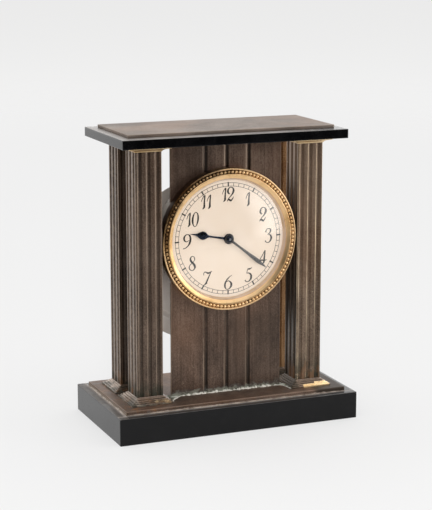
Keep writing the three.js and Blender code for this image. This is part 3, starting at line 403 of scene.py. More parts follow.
# the plate's left side and the left end of its top are painted paler as painted light from the left
BRONZE_PLATE = bronze("bronze_plate", "x", base=((0.060, 0.039, 0.028), (0.142, 0.092, 0.067), (0.225, 0.157, 0.119)), worn=(0.42, 0.31, 0.22), wear_and_painted_light=0.25, stains=0.7, coat=0.05, rough=(0.46, 0.64),
                      rubbed_and_painted_light=[(dict(X=(-71, 71), Y=(-36, 36), Z=(15, 16.4)), 0.5, (0.25, 0.20, 0.16), 0.8), (dict(X=(-71, -69.4), Y=(-36, 36), Z=(15, 17.6)), 0.4, (0.34, 0.27, 0.215), 0.8), (dict(X=(56, 75), Y=(-34.2, 40), Z=(18.2, 18.6)), 14.0, (0.055, 0.040, 0.030), 0.5)],
                      shade=[(dict(X=(-71, -64.5), Z=(18.2, 19)), 2.5, (0.27, 0.215, 0.175), 0.15)])
BRONZE_TOP = bronze("bronze_top_plate", "x", base=((0.092, 0.073, 0.061), (0.185, 0.149, 0.125), (0.285, 0.237, 0.203)), worn=(0.46, 0.37, 0.29), wear_and_painted_light=0.35, rough=(0.46, 0.62), coat=0.0, spread=0.12, brushed=0.3,
                    shade=[(dict(X=(44, 75), Y=(-42, -34)), 10.0, (0.36, 0.30, 0.26), 0.35)])
GILT = gilt("gilt_brass", (0.84, 0.56, 0.285), (0.26, 0.40))
GILT_CAPITAL = gilt("gilt_capital", (0.74, 0.56, 0.33), (0.34, 0.48))
SATIN = satin_nickel()
BRASS = turned_metal("turned_brass", (0.50, 0.34, 0.13), (0.80, 0.58, 0.26), (0.22, 0.36))
STEEL = turned_metal("turned_steel", (0.30, 0.31, 0.33), (0.52, 0.53, 0.56), (0.22, 0.36))
BLUED = turned_metal("blued_steel", (0.010, 0.012, 0.018), (0.030, 0.038, 0.060), (0.20, 0.32), scale=1200)
BLUED_RUBBED = turned_metal("blued_steel_rubbed", (0.045, 0.044, 0.046), (0.120, 0.115, 0.112), (0.26, 0.40), scale=1200)
CREAM = cream_paint()
INK = ink()
CRUST = bloom()
POLISH = dried_polish()
GLASS = clear_glass()


# ------------------------------------------------------------------ mesh building, in millimetres
def soften(points, radius, seg=3, closed=False):
    """Rounds the corners of a polyline; a point may carry its own radius as a third number."""
    out = []
    n = len(points)
    for i, p in enumerate(points):
        b = Vector(p[:2])
        if not closed and i in (0, n - 1):
            out.append((b.x, b.y))
            continue
        r = p[2] if len(p) > 2 else radius
        d1, d2 = Vector(points[i - 1][:2]) - b, Vector(points[(i + 1) % n][:2]) - b
        r = min(r, d1.length * 0.45, d2.length * 0.45)
        if r < 1e-4:
            out.append((b.x, b.y))
            continue
        p0, p2 = b + d1.normalized() * r, b + d2.normalized() * r
        for k in range(seg + 1):
            t = k / seg
            q = p0 * (1 - t) ** 2 + b * (2 * t * (1 - t)) + p2 * t * t
            out.append((q.x, q.y))
    return out


def join_rows(bm, a, b, wrap=True):
    n = max(len(a), len(b))
    for i in range(n if wrap else n - 1):
        j = (i + 1) % n
        loop = []
        for v in (a[i % len(a)], a[j % len(a)], b[j % len(b)], b[i % len(b)]):
            if v not in loop:
                loop.append(v)
        if len(loop) > 2:
            bm.faces.new(loop)


def loft(bm, rings, caps=(True, True)):
    rows = [[bm.verts.new(p) for p in ring] for ring in rings]
    for a, b in zip(rows, rows[1:]):
        join_rows(bm, a, b)
    if caps[0]:
        bm.faces.new(rows[0][::-1])
    if caps[1]:
        bm.faces.new(rows[-1])


def square_ring(cx, cy, hx, hy, z, r, seg=3, pad=0.6):
    """A rectangle with rounded corners, and a point beside each corner so that edge wear stays narrow."""
    r = min(r, hx * 0.9, hy * 0.9)
    pts = []
    for k, (sx, sy) in enumerate(((1, 1), (-1, 1), (-1, -1), (1, -1))):
        ox, oy = cx + sx * (hx - r), cy + sy * (hy - r)
        arc = [(ox + r * math.cos(TAU / 4 * (k + i / seg)), oy + r * math.sin(TAU / 4 * (k + i / seg))) for i in range(seg + 1)]
        a, b = TAU / 4 * k, TAU / 4 * (k + 1)
        first = (arc[0][0] + pad * math.sin(a), arc[0][1] - pad * math.cos(a))
        last = (arc[-1][0] - pad * math.sin(b), arc[-1][1] + pad * math.cos(b))
        pts += [(x, y, z) for x, y in (first, *arc, last)]
    return pts


def slab(bm, cx, cy, hx, hy, z0, z1, b=0.5, corner=0.7, seg=3):
    prof = [(b + 1.0, z0)]
    prof += [(b * (1 - math.sin(TAU / 4 * i / seg)), z0 + b * (1 - math.cos(TAU / 4 * i / seg))) for i in range(seg + 1)]
    pad = min(0.5, (z1 - z0 - 2 * b) / 3)
    prof += [(0, z0 + b + pad), (0, z1 - b - pad)]
    prof += [(b * (1 - math.cos(TAU / 4 * i / seg)), z1 - b * (1 - math.sin(TAU / 4 * i / seg))) for i in range(seg + 1)]
    prof += [(b + 1.0, z1)]
    loft(bm, [square_ring(cx, cy, hx - d, hy - d, z, max(corner - d, 0.08)) for d, z in prof])


def moulding(bm, cx, cy, half, profile, corner=0.25, radius=0.18, seg=3):
    """A stepped moulding round a square: profile is (distance beyond the half side, z)."""
    pts = soften(profile, radius, seg)
    rings = [square_ring(cx, cy, half + d, half + d, z, max(0.06, min(corner, corner + d * 0.02)), 3, 0.5) for d, z in pts]
    loft(bm, rings)


def lathe(bm, profile, seg, cx=0.0, cz=CZ, closed=False, ripple=None):
    """A profile of (radius, y) turned about an axis along Y."""
    rows = []
    for k, (r, y) in enumerate(profile):
        if r < 1e-6:
            rows.append([bm.verts.new((cx, y, cz))])
            continue
        ring = []
        for i in range(seg):
            a = TAU * i / seg
            rr = r + (ripple(k, a) if ripple else 0.0)
            ring.append(bm.verts.new((cx + rr * math.cos(a), y, cz + rr * math.sin(a))))
        rows.append(ring)
    for a, b in zip(rows, rows[1:] + (rows[:1] if closed else [])):
        join_rows(bm, a, b)


def prism(bm, outline, lo, hi, axis="z"):
    """An outline drawn out along an axis: (x, y) along z, (x, z) along y."""
    def at(p, h):
        return (p[0], p[1], h) if axis == "z" else (p[0], h, p[1])
    loft(bm, [[at(p, lo) for p in outline], [at(p, hi) for p in outline]])


def bead(bm, centre, radius, flat=1.0, seg=10, rows=5, out=(0, -1, 0), stretch=1.0, along=None):
    """A half ball standing on a surface, open underneath where it sinks in."""
    n = Vector(out).normalized()
    u = (Vector(along) if along else n.orthogonal()).normalized()
    v = n.cross(u)
    c = Vector(centre)
    top = bm.verts.new(c + n * radius * flat)
    last = [top]
    for k in range(1, rows + 1):
        e = TAU / 4 * (1 - k / rows) - (0.35 if k == rows else 0)
        ring = []
        for i in range(seg):
            a = TAU * i / seg
            ring.append(bm.verts.new(c + n * (radius * flat * math.sin(e)) + (u * (math.cos(a) * stretch) + v * math.sin(a)) * (radius * math.cos(e))))
        join_rows(bm, last, ring)
        last = ring
    bm.faces.new(last[::-1])


def carve(bm, *cutters):
    """bm less the cutters, by an exact boolean."""
    def lay(b, name):
        bmesh.ops.recalc_face_normals(b, faces=b.faces)
        me = bpy.data.meshes.new(name)
        b.to_mesh(me)
        b.free()
        o = bpy.data.objects.new(name, me)
        bpy.context.scene.collection.objects.link(o)
        return o

    body = lay(bm, "tmp_body")
    tools = [lay(c, "tmp_cut") for c in cutters]
    for c in tools:
        m = body.modifiers.new("cut", "BOOLEAN")
        m.operation, m.solver, m.object = "DIFFERENCE", "EXACT", c
    bpy.context.view_layer.update()
    made = bpy.data.meshes.new_from_object(body.evaluated_get(bpy.context.evaluated_depsgraph_get()))
    out = bmesh.new()
    out.from_mesh(made)
    bpy.data.meshes.remove(made)
    for o in (body, *tools):
        me = o.data
        bpy.data.objects.remove(o)
        bpy.data.meshes.remove(me)
    return out


def rod_cut(x, z, r, y0, y1, seg=24):
    b = bmesh.new()
    prism(b, [(x + r * math.cos(TAU * i / seg), z + r * math.sin(TAU * i / seg)) for i in range(seg)], y0, y1, "y")
    return b


def post_cut(x, y, r, z0, z1, seg=24):
    b = bmesh.new()
    prism(b, [(x + r * math.cos(TAU * i / seg), y + r * math.sin(TAU * i / seg)) for i in range(seg)], z0, z1, "z")
    return b


def piece(name, bm, material, nodes=(), body="case", crease=38.0, more=(), scale=MM, paint=None):
    """Finishes a mesh: outward normals, smooth faces with sharp creases, values for worn edges and soiled corners, then
    its body.
    paint(v) may give a vertex its own pair of these values, which some pieces use for painted highlights and painted
    shade."""
    bmesh.ops.remove_doubles(bm, verts=bm.verts, dist=1e-5)
    bmesh.ops.recalc_face_normals(bm, faces=bm.faces)
    for f in bm.faces:
        f.smooth = True
    wear_and_painted_light = bm.verts.layers.float.new("wear_and_painted_light")
    grime_and_painted_shade = bm.verts.layers.float.new("grime_and_painted_shade")
    for e in bm.edges:
        if len(e.link_faces) != 2:
            e.smooth = False
            continue
        a = e.calc_face_angle_signed(0.0)
        e.smooth = abs(a) < math.radians(crease)
        if abs(a) > math.radians(9):
            layer = wear_and_painted_light if a > 0 else grime_and_painted_shade
            for v in e.verts:
                v[layer] = max(v[layer], min(1.0, abs(a) / math.radians(34)))
    if paint:
        for v in bm.verts:
            own = paint(v.co)
            if own:
                v[wear_and_painted_light], v[grime_and_painted_shade] = own
    bmesh.ops.transform(bm, matrix=Matrix.Scale(scale, 4), verts=bm.verts)
    me = bpy.data.meshes.new(name)
    bm.to_mesh(me)
    bm.free()
    obj = bpy.data.objects.new(name, me)
    bpy.context.scene.collection.objects.link(obj)
    for m in (material, *more):
        me.materials.append(m)
    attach(obj, body)
    if nodes:
        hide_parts(*nodes)
    return obj


# ------------------------------------------------------------------ slabs and plates
COLS = {"front_left": (-50.57, -14.87), "front_right": (50.57, -14.87), "rear_left": (-50.57, 14.87), "rear_right": (50.57, 14.87)}

bm = bmesh.new()
slab(bm, 0, 0, 75, 40.1, 0, 16, b=0.35, corner=0.45)
bm = carve(bm, *[post_cut(x, y, 5.2, -1, 5.0, 32) for x, y in COLS.values()])
piece("base_stone", bm, STONE, ["base_slab"], paint=lambda v: (0, 0) if v.z < 15.4 else None)

bm = bmesh.new()
slab(bm, 0, 0, 69.55, 34.65, 16, 18.4, b=0.3, corner=0.4)
piece("base_bronze_plate", bm, BRONZE_PLATE, ["base_plate"])

bm = bmesh.new()
slab(bm, 0, 0, 69.65, 34.35, 168.8, 174.2, b=0.3, corner=0.45)
piece("top_stone", bm, STONE, ["top_slab"], paint=lambda v: (0, 0) if v.z < 173.8 else None)

bm = bmesh.new()
slab(bm, 0, 0, 64.05, 26.9, 174.2, 176.2, b=0.3, corner=0.4)
piece("top_bronze_plate", bm, BRONZE_TOP, ["top_plate"])

# ------------------------------------------------------------------ columns
HALF = 8.025
PITCH = HALF * 2 / 3


def flute(x, w=2.6, d=0.95, seg=10):
    """One flute across a face: (along, depth) with eased arrises."""
    pts = [(x - w / 2 - 0.34, 0), (x - w / 2 - 0.12, 0.0), (x - w / 2 + 0.02, 0.07)]
    for i in range(1, seg):
        t = -1 + 2 * i / seg
        pts.append((x + t * w / 2, d * math.sqrt(1 - t * t)))
    pts += [(x + w / 2 - 0.02, 0.07), (x + w / 2 + 0.12, 0.0), (x + w / 2 + 0.34, 0)]
    return pts


def column_outline(cx, cy):
    c = 0.28
    side = [(-HALF + c, 0), (-HALF + c + 0.3, 0)]
    for k in (-1, 0, 1):
        side += flute(k * PITCH)
    side += [(HALF - c - 0.3, 0), (HALF - c, 0)]
    out = []
    for q in range(4):
        co, si = round(math.cos(TAU / 4 * q)), round(math.sin(TAU / 4 * q))
        pts = [(u, -HALF + d) for u, d in side]
        for i in (1, 2):  # the rounded arris at the end of this side
            a = -TAU / 4 + TAU / 4 * i / 3
            pts.append((HALF - c + c * math.cos(a), -HALF + c + c * math.sin(a)))
        out += [(cx + co * x - si * y, cy + si * x + co * y) for x, y in pts]
    return out


def flute_marks(cx, cy, flute_shade, painted_shade_left):
    """Painted highlight on the left wall of each front and back flute and painted shade on its floor and right wall;
    the left faces are paler, partly worn and partly painted reflection; painted_shade_left puts painted shade on the
    whole left face below its top.
    """
    def paint(v):
        x, y = v.x - cx, v.y - cy
        if v.z < 22.5 or v.z > 165.4:
            return (0, 0.5)
        # left faces: painted shade below the top for the front right column; for the others paler, partly edge wear and
        # partly painted reflection
        if x < -HALF + 1.0 and abs(y) < HALF - 0.2:
            return ((0.35, 0) if v.z > 150 else (0, 0.62 if x < -HALF + 0.12 else 1.0)) if painted_shade_left else (0.57, 0) if x < -HALF + 0.12 else (0.34, 0.10)
        # front and back flutes: painted highlight on the left wall, painted shade on the floor and right wall
        if abs(abs(y) - HALF) < 1.0 and abs(x) < HALF - 1.0:
            k = max(-1, min(1, round(x / PITCH)))
            t = (x - k * PITCH) / 1.3
            return (0, 0) if abs(t) > 1.2 else (1.0, 0) if t < -0.75 else (0.35, 0) if t < -0.5 else (0, flute_shade * 0.4) if t < -0.1 else (0, flute_shade) if t < 0.9 else (0, flute_shade * 0.3)
        return None
    return paint


for key, (cx, cy) in COLS.items():
    right = key.endswith("right")
    bm = bmesh.new()
    outline = column_outline(cx, cy)
    loft(bm, [[(x, y, z) for x, y in outline] for z in (22.4, 22.7, 60, 94, 130, 165.2, 165.5)])
    # painted shade in the flutes is lighter on the right columns
    piece("column_shaft_" + key, bm, BRONZE_PAINTED_LIGHT if key == "rear_right" else BRONZE_GOLD if right else BRONZE_COLUMN, ["column_" + key], crease=30, paint=flute_marks(cx, cy, 0.4 if right else 0.72, key == "front_right"))

    bm = bmesh.new()
    moulding(bm, cx, cy, HALF, [(-3.0, 18.4, 0), (4.8, 18.4, 0.1), (4.8, 19.4, 0.24), (3.6, 19.42, 0.08), (3.5, 20.2, 0.22), (2.4, 20.24, 0.08), (2.3, 21.0, 0.22), (1.25, 21.04, 0.08), (1.15, 21.85, 0.22), (0.35, 21.9, 0.08), (0.1, 22.4, 0.05), (-3.0, 22.4, 0)])
    piece("plinth_steps_" + key, bm, BRONZE_PLINTH_GOLD if key == "front_right" else BRONZE_PLINTH, ["plinth_" + key], crease=26)

    bm = bmesh.new()
    moulding(bm, cx, cy, HALF, [(-3.0, 165.5, 0), (0.2, 165.5, 0.06), (0.34, 165.75, 0.1), (0.62, 166.12, 0.3), (1.15, 166.55, 0.4), (2.0, 166.92, 0.4), (3.2, 167.22, 0.4), (4.15, 167.40, 0.08), (4.4, 167.55, 0.12), (4.4, 168.8, 0.0), (-3.0, 168.8, 0)], corner=0.2)
    piece("capital_flare_" + key, bm, GILT_CAPITAL, ["capital_" + key], crease=40)

# ------------------------------------------------------------------ panel
def panel_outline():
    y0, y1, hw, c, bevel = -16.0, -13.0, 35.0, 0.3, 2.0
    pts = [(-hw + c, y0), (-hw + c + 0.4, y0)]
    for gx in GROOVES:
        w, d = 1.45, 1.0
        pts += [(gx - w - 0.45, y0), (gx - w - 0.14, y0), (gx - w + 0.05, y0 + 0.07)]
        for t in (-0.8, -0.6, -0.4, -0.2, 0, 0.2, 0.4, 0.6, 0.8):
            pts.append((gx + t * w, y0 + d * math.cos(t * math.pi / 2) ** 0.8))
        pts += [(gx + w - 0.05, y0 + 0.07), (gx + w + 0.14, y0), (gx + w + 0.45, y0)]
    pts += [(hw - c - 0.4, y0), (hw - c, y0), (hw - c * 0.3, y0 + c * 0.3), (hw, y0 + c), (hw, y1 - bevel - c), (hw - 0.1, y1 - bevel), (hw - bevel, y1 - 0.1), (hw - bevel - c, y1)]
    pts += [(-hw + bevel + c, y1), (-hw + bevel, y1 - 0.1), (-hw + 0.1, y1 - bevel), (-hw, y1 - bevel - c), (-hw, y0 + c), (-hw + c * 0.3, y0 + c * 0.3)]
    return pts


GROOVES = (-13.1, 0.2, 14)


# painted highlight on the left wall of each groove and painted shade on its floor and right wall, weaker between 30 and
# 90 mm up
def groove_marks(v):
    if v.z < 18.5 or v.z > 168.7:
        return (0, 0)
    if v.y > -14.5 or abs(v.x) > 30:
        return None
    t = min((v.x - g for g in GROOVES), key=abs) / 1.45
    k = 1.1 if v.z < 30 else 0.62 if v.z < 90 else 1.0
    wear_and_painted_light, grime_and_painted_shade = (0, 0) if abs(t) > 1.2 else (1.0, 0) if t < -0.5 else (0.5, 0.1) if t < -0.3 else (0, 0.5) if t < 0.1 else (0, 1.0) if t < 0.95 else (0, 0.3)
    return (wear_and_painted_light * k, grime_and_painted_shade * k)


bm = bmesh.new()
outline = panel_outline()
loft(bm, [[(x, y, z) for x, y in outline] for z in (18.4, 18.8, 28, 50, 60, 110, 168.4, 168.8)])
bm = carve(bm, rod_cut(0, CZ, 3.2, -17, -12))
piece("panel_bronze", bm, BRONZE_PANEL, ["dial_panel"], crease=30, paint=groove_marks)


def path(points, n):
    """n + 1 points spaced evenly along a polyline."""
    pts = [Vector(p) for p in points]
    cum = [0.0]
    for a, b in zip(pts, pts[1:]):
        cum.append(cum[-1] + (b - a).length)
    out, k = [], 0
    for i in range(n + 1):
        s = cum[-1] * i / n
        while k < len(pts) - 2 and s > cum[k + 1]:
            k += 1
        out.append(pts[k].lerp(pts[k + 1], (s - cum[k]) / (cum[k + 1] - cum[k])))
    return out


def crust(bm, wall, shore, n, tall, climb):
    """A dried film between a wall's foot and its own shore line on the base plate: thin, with a raised pale rim, and climbing the wall a little."""
    rim = bm.verts.layers.float.get("rim") or bm.verts.layers.float.new("rim")
    floor_z = 18.4
    rows = []
    for i, (w, s) in enumerate(zip(path(wall, n), path(shore, n))):
        u = i / n
        jig = noise.noise(Vector((s.x * 0.9, s.y * 0.9, 1.7)))
        ease = min(1.0, 6 * u, 6 * (1 - u))
        d = s - w
        reach = 1.0 + 0.16 * jig * ease
        up = climb * max(0.12, 0.5 + 0.9 * noise.noise(Vector((w.x * 0.45, w.y * 0.45, 9.2)))) * ease
        back = d.normalized() * 0.05 if d.length > 1e-6 else Vector((0, 0.05))
        row = [((w - back * 0.5), floor_z - 0.03, 0.0), ((w - back * 0.5), floor_z + up + 0.02, 0.2), (w + back * 2.2, floor_z + up * 0.75, 0.1)]
        for t, h, r in ((0.10, 0.30, 0.0), (0.3, 0.16, 0.0), (0.55, 0.12, 0.1), (0.72, 0.22, 0.7), (0.84, 0.36, 1.0), (0.94, 0.26, 1.0), (1.0, 0.02, 0.8)):
            hh = h * tall * (1 + 0.7 * noise.noise(Vector((s.x * 1.1 + 7 * t, s.y * 1.1, 4.4))))
            row.append((w + d * (t * reach), floor_z + max(0.012, hh * (0.3 + 0.7 * ease)), r))
        row.append((w + d * reach, floor_z - 0.03, 0.8))
        made = []
        for p, z, r in row:
            v = bm.verts.new((p.x, p.y, z))
            v[rim] = r
            made.append(v)
        rows.append(made)
    for a, b in zip(rows, rows[1:]):
        join_rows(bm, a, b)
    bm.faces.new(rows[0][::-1])
    bm.faces.new(rows[-1])


def ridge(bm, line, n, low, high, wide, floor=18.4, pale=0.0):
    """A lumpy bead of dried bloom along the joint at a wall's foot; the wall lies to the left of the line."""
    rim = bm.verts.layers.float.get("rim") or bm.verts.layers.float.new("rim")
    pts = path(line, n)
    rows = []
    for i, q in enumerate(pts):
        d = (pts[min(n, i + 1)] - pts[max(0, i - 1)]).normalized()
        out = Vector((d.y, -d.x))
        ease = min(1.0, 8 * i / n, 8 * (1 - i / n))
        a = noise.noise(Vector((q.x * 0.55, q.y * 0.55, 3.1))) + 0.6 * noise.noise(Vector((q.x * 1.9, q.y * 1.9, 8.3)))
        b = noise.noise(Vector((q.x * 0.8, q.y * 0.8, 5.7))) + 0.5 * noise.noise(Vector((q.x * 2.4, q.y * 2.4, 1.9)))
        h = (low + (high - low) * max(0.0, min(1.0, 0.45 + a))) * (0.25 + 0.75 * ease)
        w = wide * max(0.25, 0.7 + 0.7 * b) * (0.3 + 0.7 * ease)
        made = []
        for k, z, r in ((-0.05, -0.03, 0.3), (-0.05, h, 0.1), (0.12, h * 0.92, 0.4), (0.4, h * 0.55, 0.8), (0.75, h * 0.28, 1.0), (1.0, 0.03, 0.9), (1.0, -0.03, 0.8)):
            v = bm.verts.new((q.x + out.x * (w * k if k > 0 else k), q.y + out.y * (w * k if k > 0 else k), floor + z))
            v[rim] = max(0.0, r + 0.5 * b if not pale else pale + 0.5 * b)
            made.append(v)
        rows.append(made)
    for a, b in zip(rows, rows[1:]):
        join_rows(bm, a, b)
    bm.faces.new(rows[0][::-1])
    bm.faces.new(rows[-1])


bm = bmesh.new()
crust(bm, [(-37.8, -25.4), (-37.75, -22.0), (-37.7, -18.8), (-35.1, -16.0), (-32.5, -16.0), (-29.6, -16.0)],
      [(-37.5, -26.8), (-36.0, -23.6), (-34.7, -21.8), (-32.8, -20.0), (-31.1, -18.2), (-29.4, -16.8)], 70, 0.9, 1.0)
crust(bm, [(33.0, -16.0), (35.1, -16.0), (37.7, -18.8), (37.75, -22.0), (37.8, -25.6)],
      [(33.0, -16.6), (34.8, -17.0), (36.2, -18.9), (36.9, -22.2), (37.3, -26.2)], 60, 0.8, 1.0)
ridge(bm, [(-30.4, -16.0), (33.6, -16.0)], 230, 0.30, 1.7, 1.3)
ridge(bm, [(37.745, -14.0), (37.745, -27.4)], 60, 0.15, 0.7, 0.5)
crust(bm, [(-35.05, -16.2), (-35.05, -14), (-34.9, -12)], [(-37.65, -16.8), (-37.65, -14), (-37.5, -12)], 22, 0.8, 0.8)
crust(bm, [(34.9, -12), (35.05, -14), (35.05, -16.2)], [(37.5, -12), (37.65, -14), (37.65, -16.8)], 22, 0.8, 0.8)
piece("base_plate_crust", bm, CRUST, crease=70)

bm = bmesh.new()
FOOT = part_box("base_plate")
(fx0, fy0, fz0), (fx1, fy1, fz1) = [[c * 1000 for c in corner] for corner in FOOT]
for line, n, pale in (([(fx0, fy0), (fx1, fy0)], 300, 0.6), ([(fx0, fy1), (fx0, fy0)], 160, 1.1), ([(fx1, fy0), (fx1, fy1)], 160, 0.6), ([(fx1, fy1), (fx0, fy1)], 300, 0.6)):
    ridge(bm, line, n, 0.30, 0.95, 0.75, floor=fz0, pale=pale)
piece("base_plate_seam", bm, POLISH, crease=70)

# ------------------------------------------------------------------ bezel and glass
bm = bmesh.new()
prof = soften([(37.4, -16.0, 0), (41.7, -16.0, 0.1), (41.95, -16.4, 0.2), (41.95, -22.0, 0.15), (41.8, -22.4, 0.2), (41.3, -22.5, 0.2), (40.95, -22.3, 0.15), (40.82, -21.8, 0.1), (38.85, -21.8, 0.1), (38.77, -22.3, 0.1), (38.65, -22.75, 0.12), (38.3, -22.98, 0.15), (37.8, -22.9, 0.2), (37.1, -22.6, 0.3), (36.5, -22.34, 0.3), (36.15, -22.22, 0.15), (35.97, -22.0, 0.12), (35.85, -21.5, 0.1), (35.0, -19.2, 0.1), (34.85, -18.98, 0.05), (34.85, -18.92, 0), (37.4, -18.92, 0)], 0.1, 3)
lathe(bm, prof, 216, closed=True)


def bezel_dirt(v):
    """Painted light and some dirt: a painted highlight on the lip at the glass and a painted reflection on the inner
    wall, browner towards the beads; painted shade darkest at the upper left, with more on the left, along the lower
    half, on the outer side wall and on the rim, and a darkened bead channel, partly dirt and partly painted shade.
    """
    r, a = math.hypot(v.x, v.z - CZ), math.atan2(v.z - CZ, v.x)
    painted_shade = max(0.0, math.cos(a - math.radians(142)))
    side = max(0.0, math.cos(a - math.radians(190))) ** 2
    if r > 41.9:
        return (0, 0.25 + 0.6 * max(0.0, math.cos(a - math.radians(150))))
    if v.y > -18.95:
        return None
    if r > 40.86:
        rd = max(0.0, math.cos(a - math.radians(140))) ** 3
        return (0.9 - 0.9 * rd, 0.05 + 0.8 * rd)
    if r > 38.8:
        return (0, 0.5 + 0.3 * painted_shade)
    if r < 35.8:
        return (0.7, 0)
    k = max(0.0, (r - 36.8) / 2.0)
    return (1.0 if r < 36.5 else 0.0, min(1.0, k * 0.15 + (0.08 + 0.18 * painted_shade ** 2 + 0.08 * side + 0.18 * max(0.0, -math.sin(a))) * (r > 36.3)))


piece("bezel_ring", bm, GILT, ["bezel"], crease=42, paint=bezel_dirt)

# a paler ring lines the inner wall, from the lip down to the dial
SIGHT = gilt("silvered_ring", tint=(0.78, 0.65, 0.53), rough=(0.30, 0.45))
bm = bmesh.new()
lathe(bm, [(34.82, -18.95), (34.95, -18.95), (35.02, -19.2), (35.84, -21.48), (35.72, -21.5), (34.86, -19.2)], 216, closed=True)
piece("bezel_sight_ring", bm, SIGHT, crease=40)


# painted shade on the beads, strongest at the upper left and some at the lower right, over paler tops and darker feet
def bead_dirt(v):
    a = math.atan2(v.z - CZ, v.x)
    painted_shade = 0.12 + 0.6 * max(0.0, math.cos(a - math.radians(150))) + 0.22 * max(0.0, math.cos(a + math.radians(20)))
    return (0.6 - 0.6 * painted_shade, painted_shade) if v.y < -22.55 else (0, 0.2 + painted_shade) if v.y < -22.15 else (0, 0.45 + 0.6 * painted_shade)


bm = bmesh.new()
COUNT = 108
for i in range(COUNT):
    a = TAU * (i + 0.5) / COUNT
    radial = Vector((math.cos(a), 0, math.sin(a)))
    c = Vector((0, -21.85, CZ)) + radial * 39.8
    bead(bm, c, 1.12, flat=1.1, seg=16, rows=6, along=radial, stretch=0.93)
piece("bezel_beads", bm, GILT, crease=80, paint=bead_dirt)

bm = bmesh.new()
R = 35.75
outer = [(R * k / 18, -26.4 + 5.85 * (k / 18) ** 2) for k in range(19)]
inner = [(R * k / 18 * 0.995, -25.5 + 5.2 * (k / 18) ** 2) for k in range(18, -1, -1)]
lathe(bm, outer + inner, 128)
piece("crystal_dome", bm, GLASS, ["crystal"], crease=50)

# ------------------------------------------------------------------ dial
bm = bmesh.new()
lathe(bm, [(2.7, -18.1), (37.0, -18.1), (37.0, -18.8), (36.9, -18.9), (30, -18.9), (20, -18.9), (10, -18.9), (2.85, -18.9), (2.7, -18.8)], 128, closed=True)
piece("dial_disc", bm, CREAM, ["dial"], crease=30)

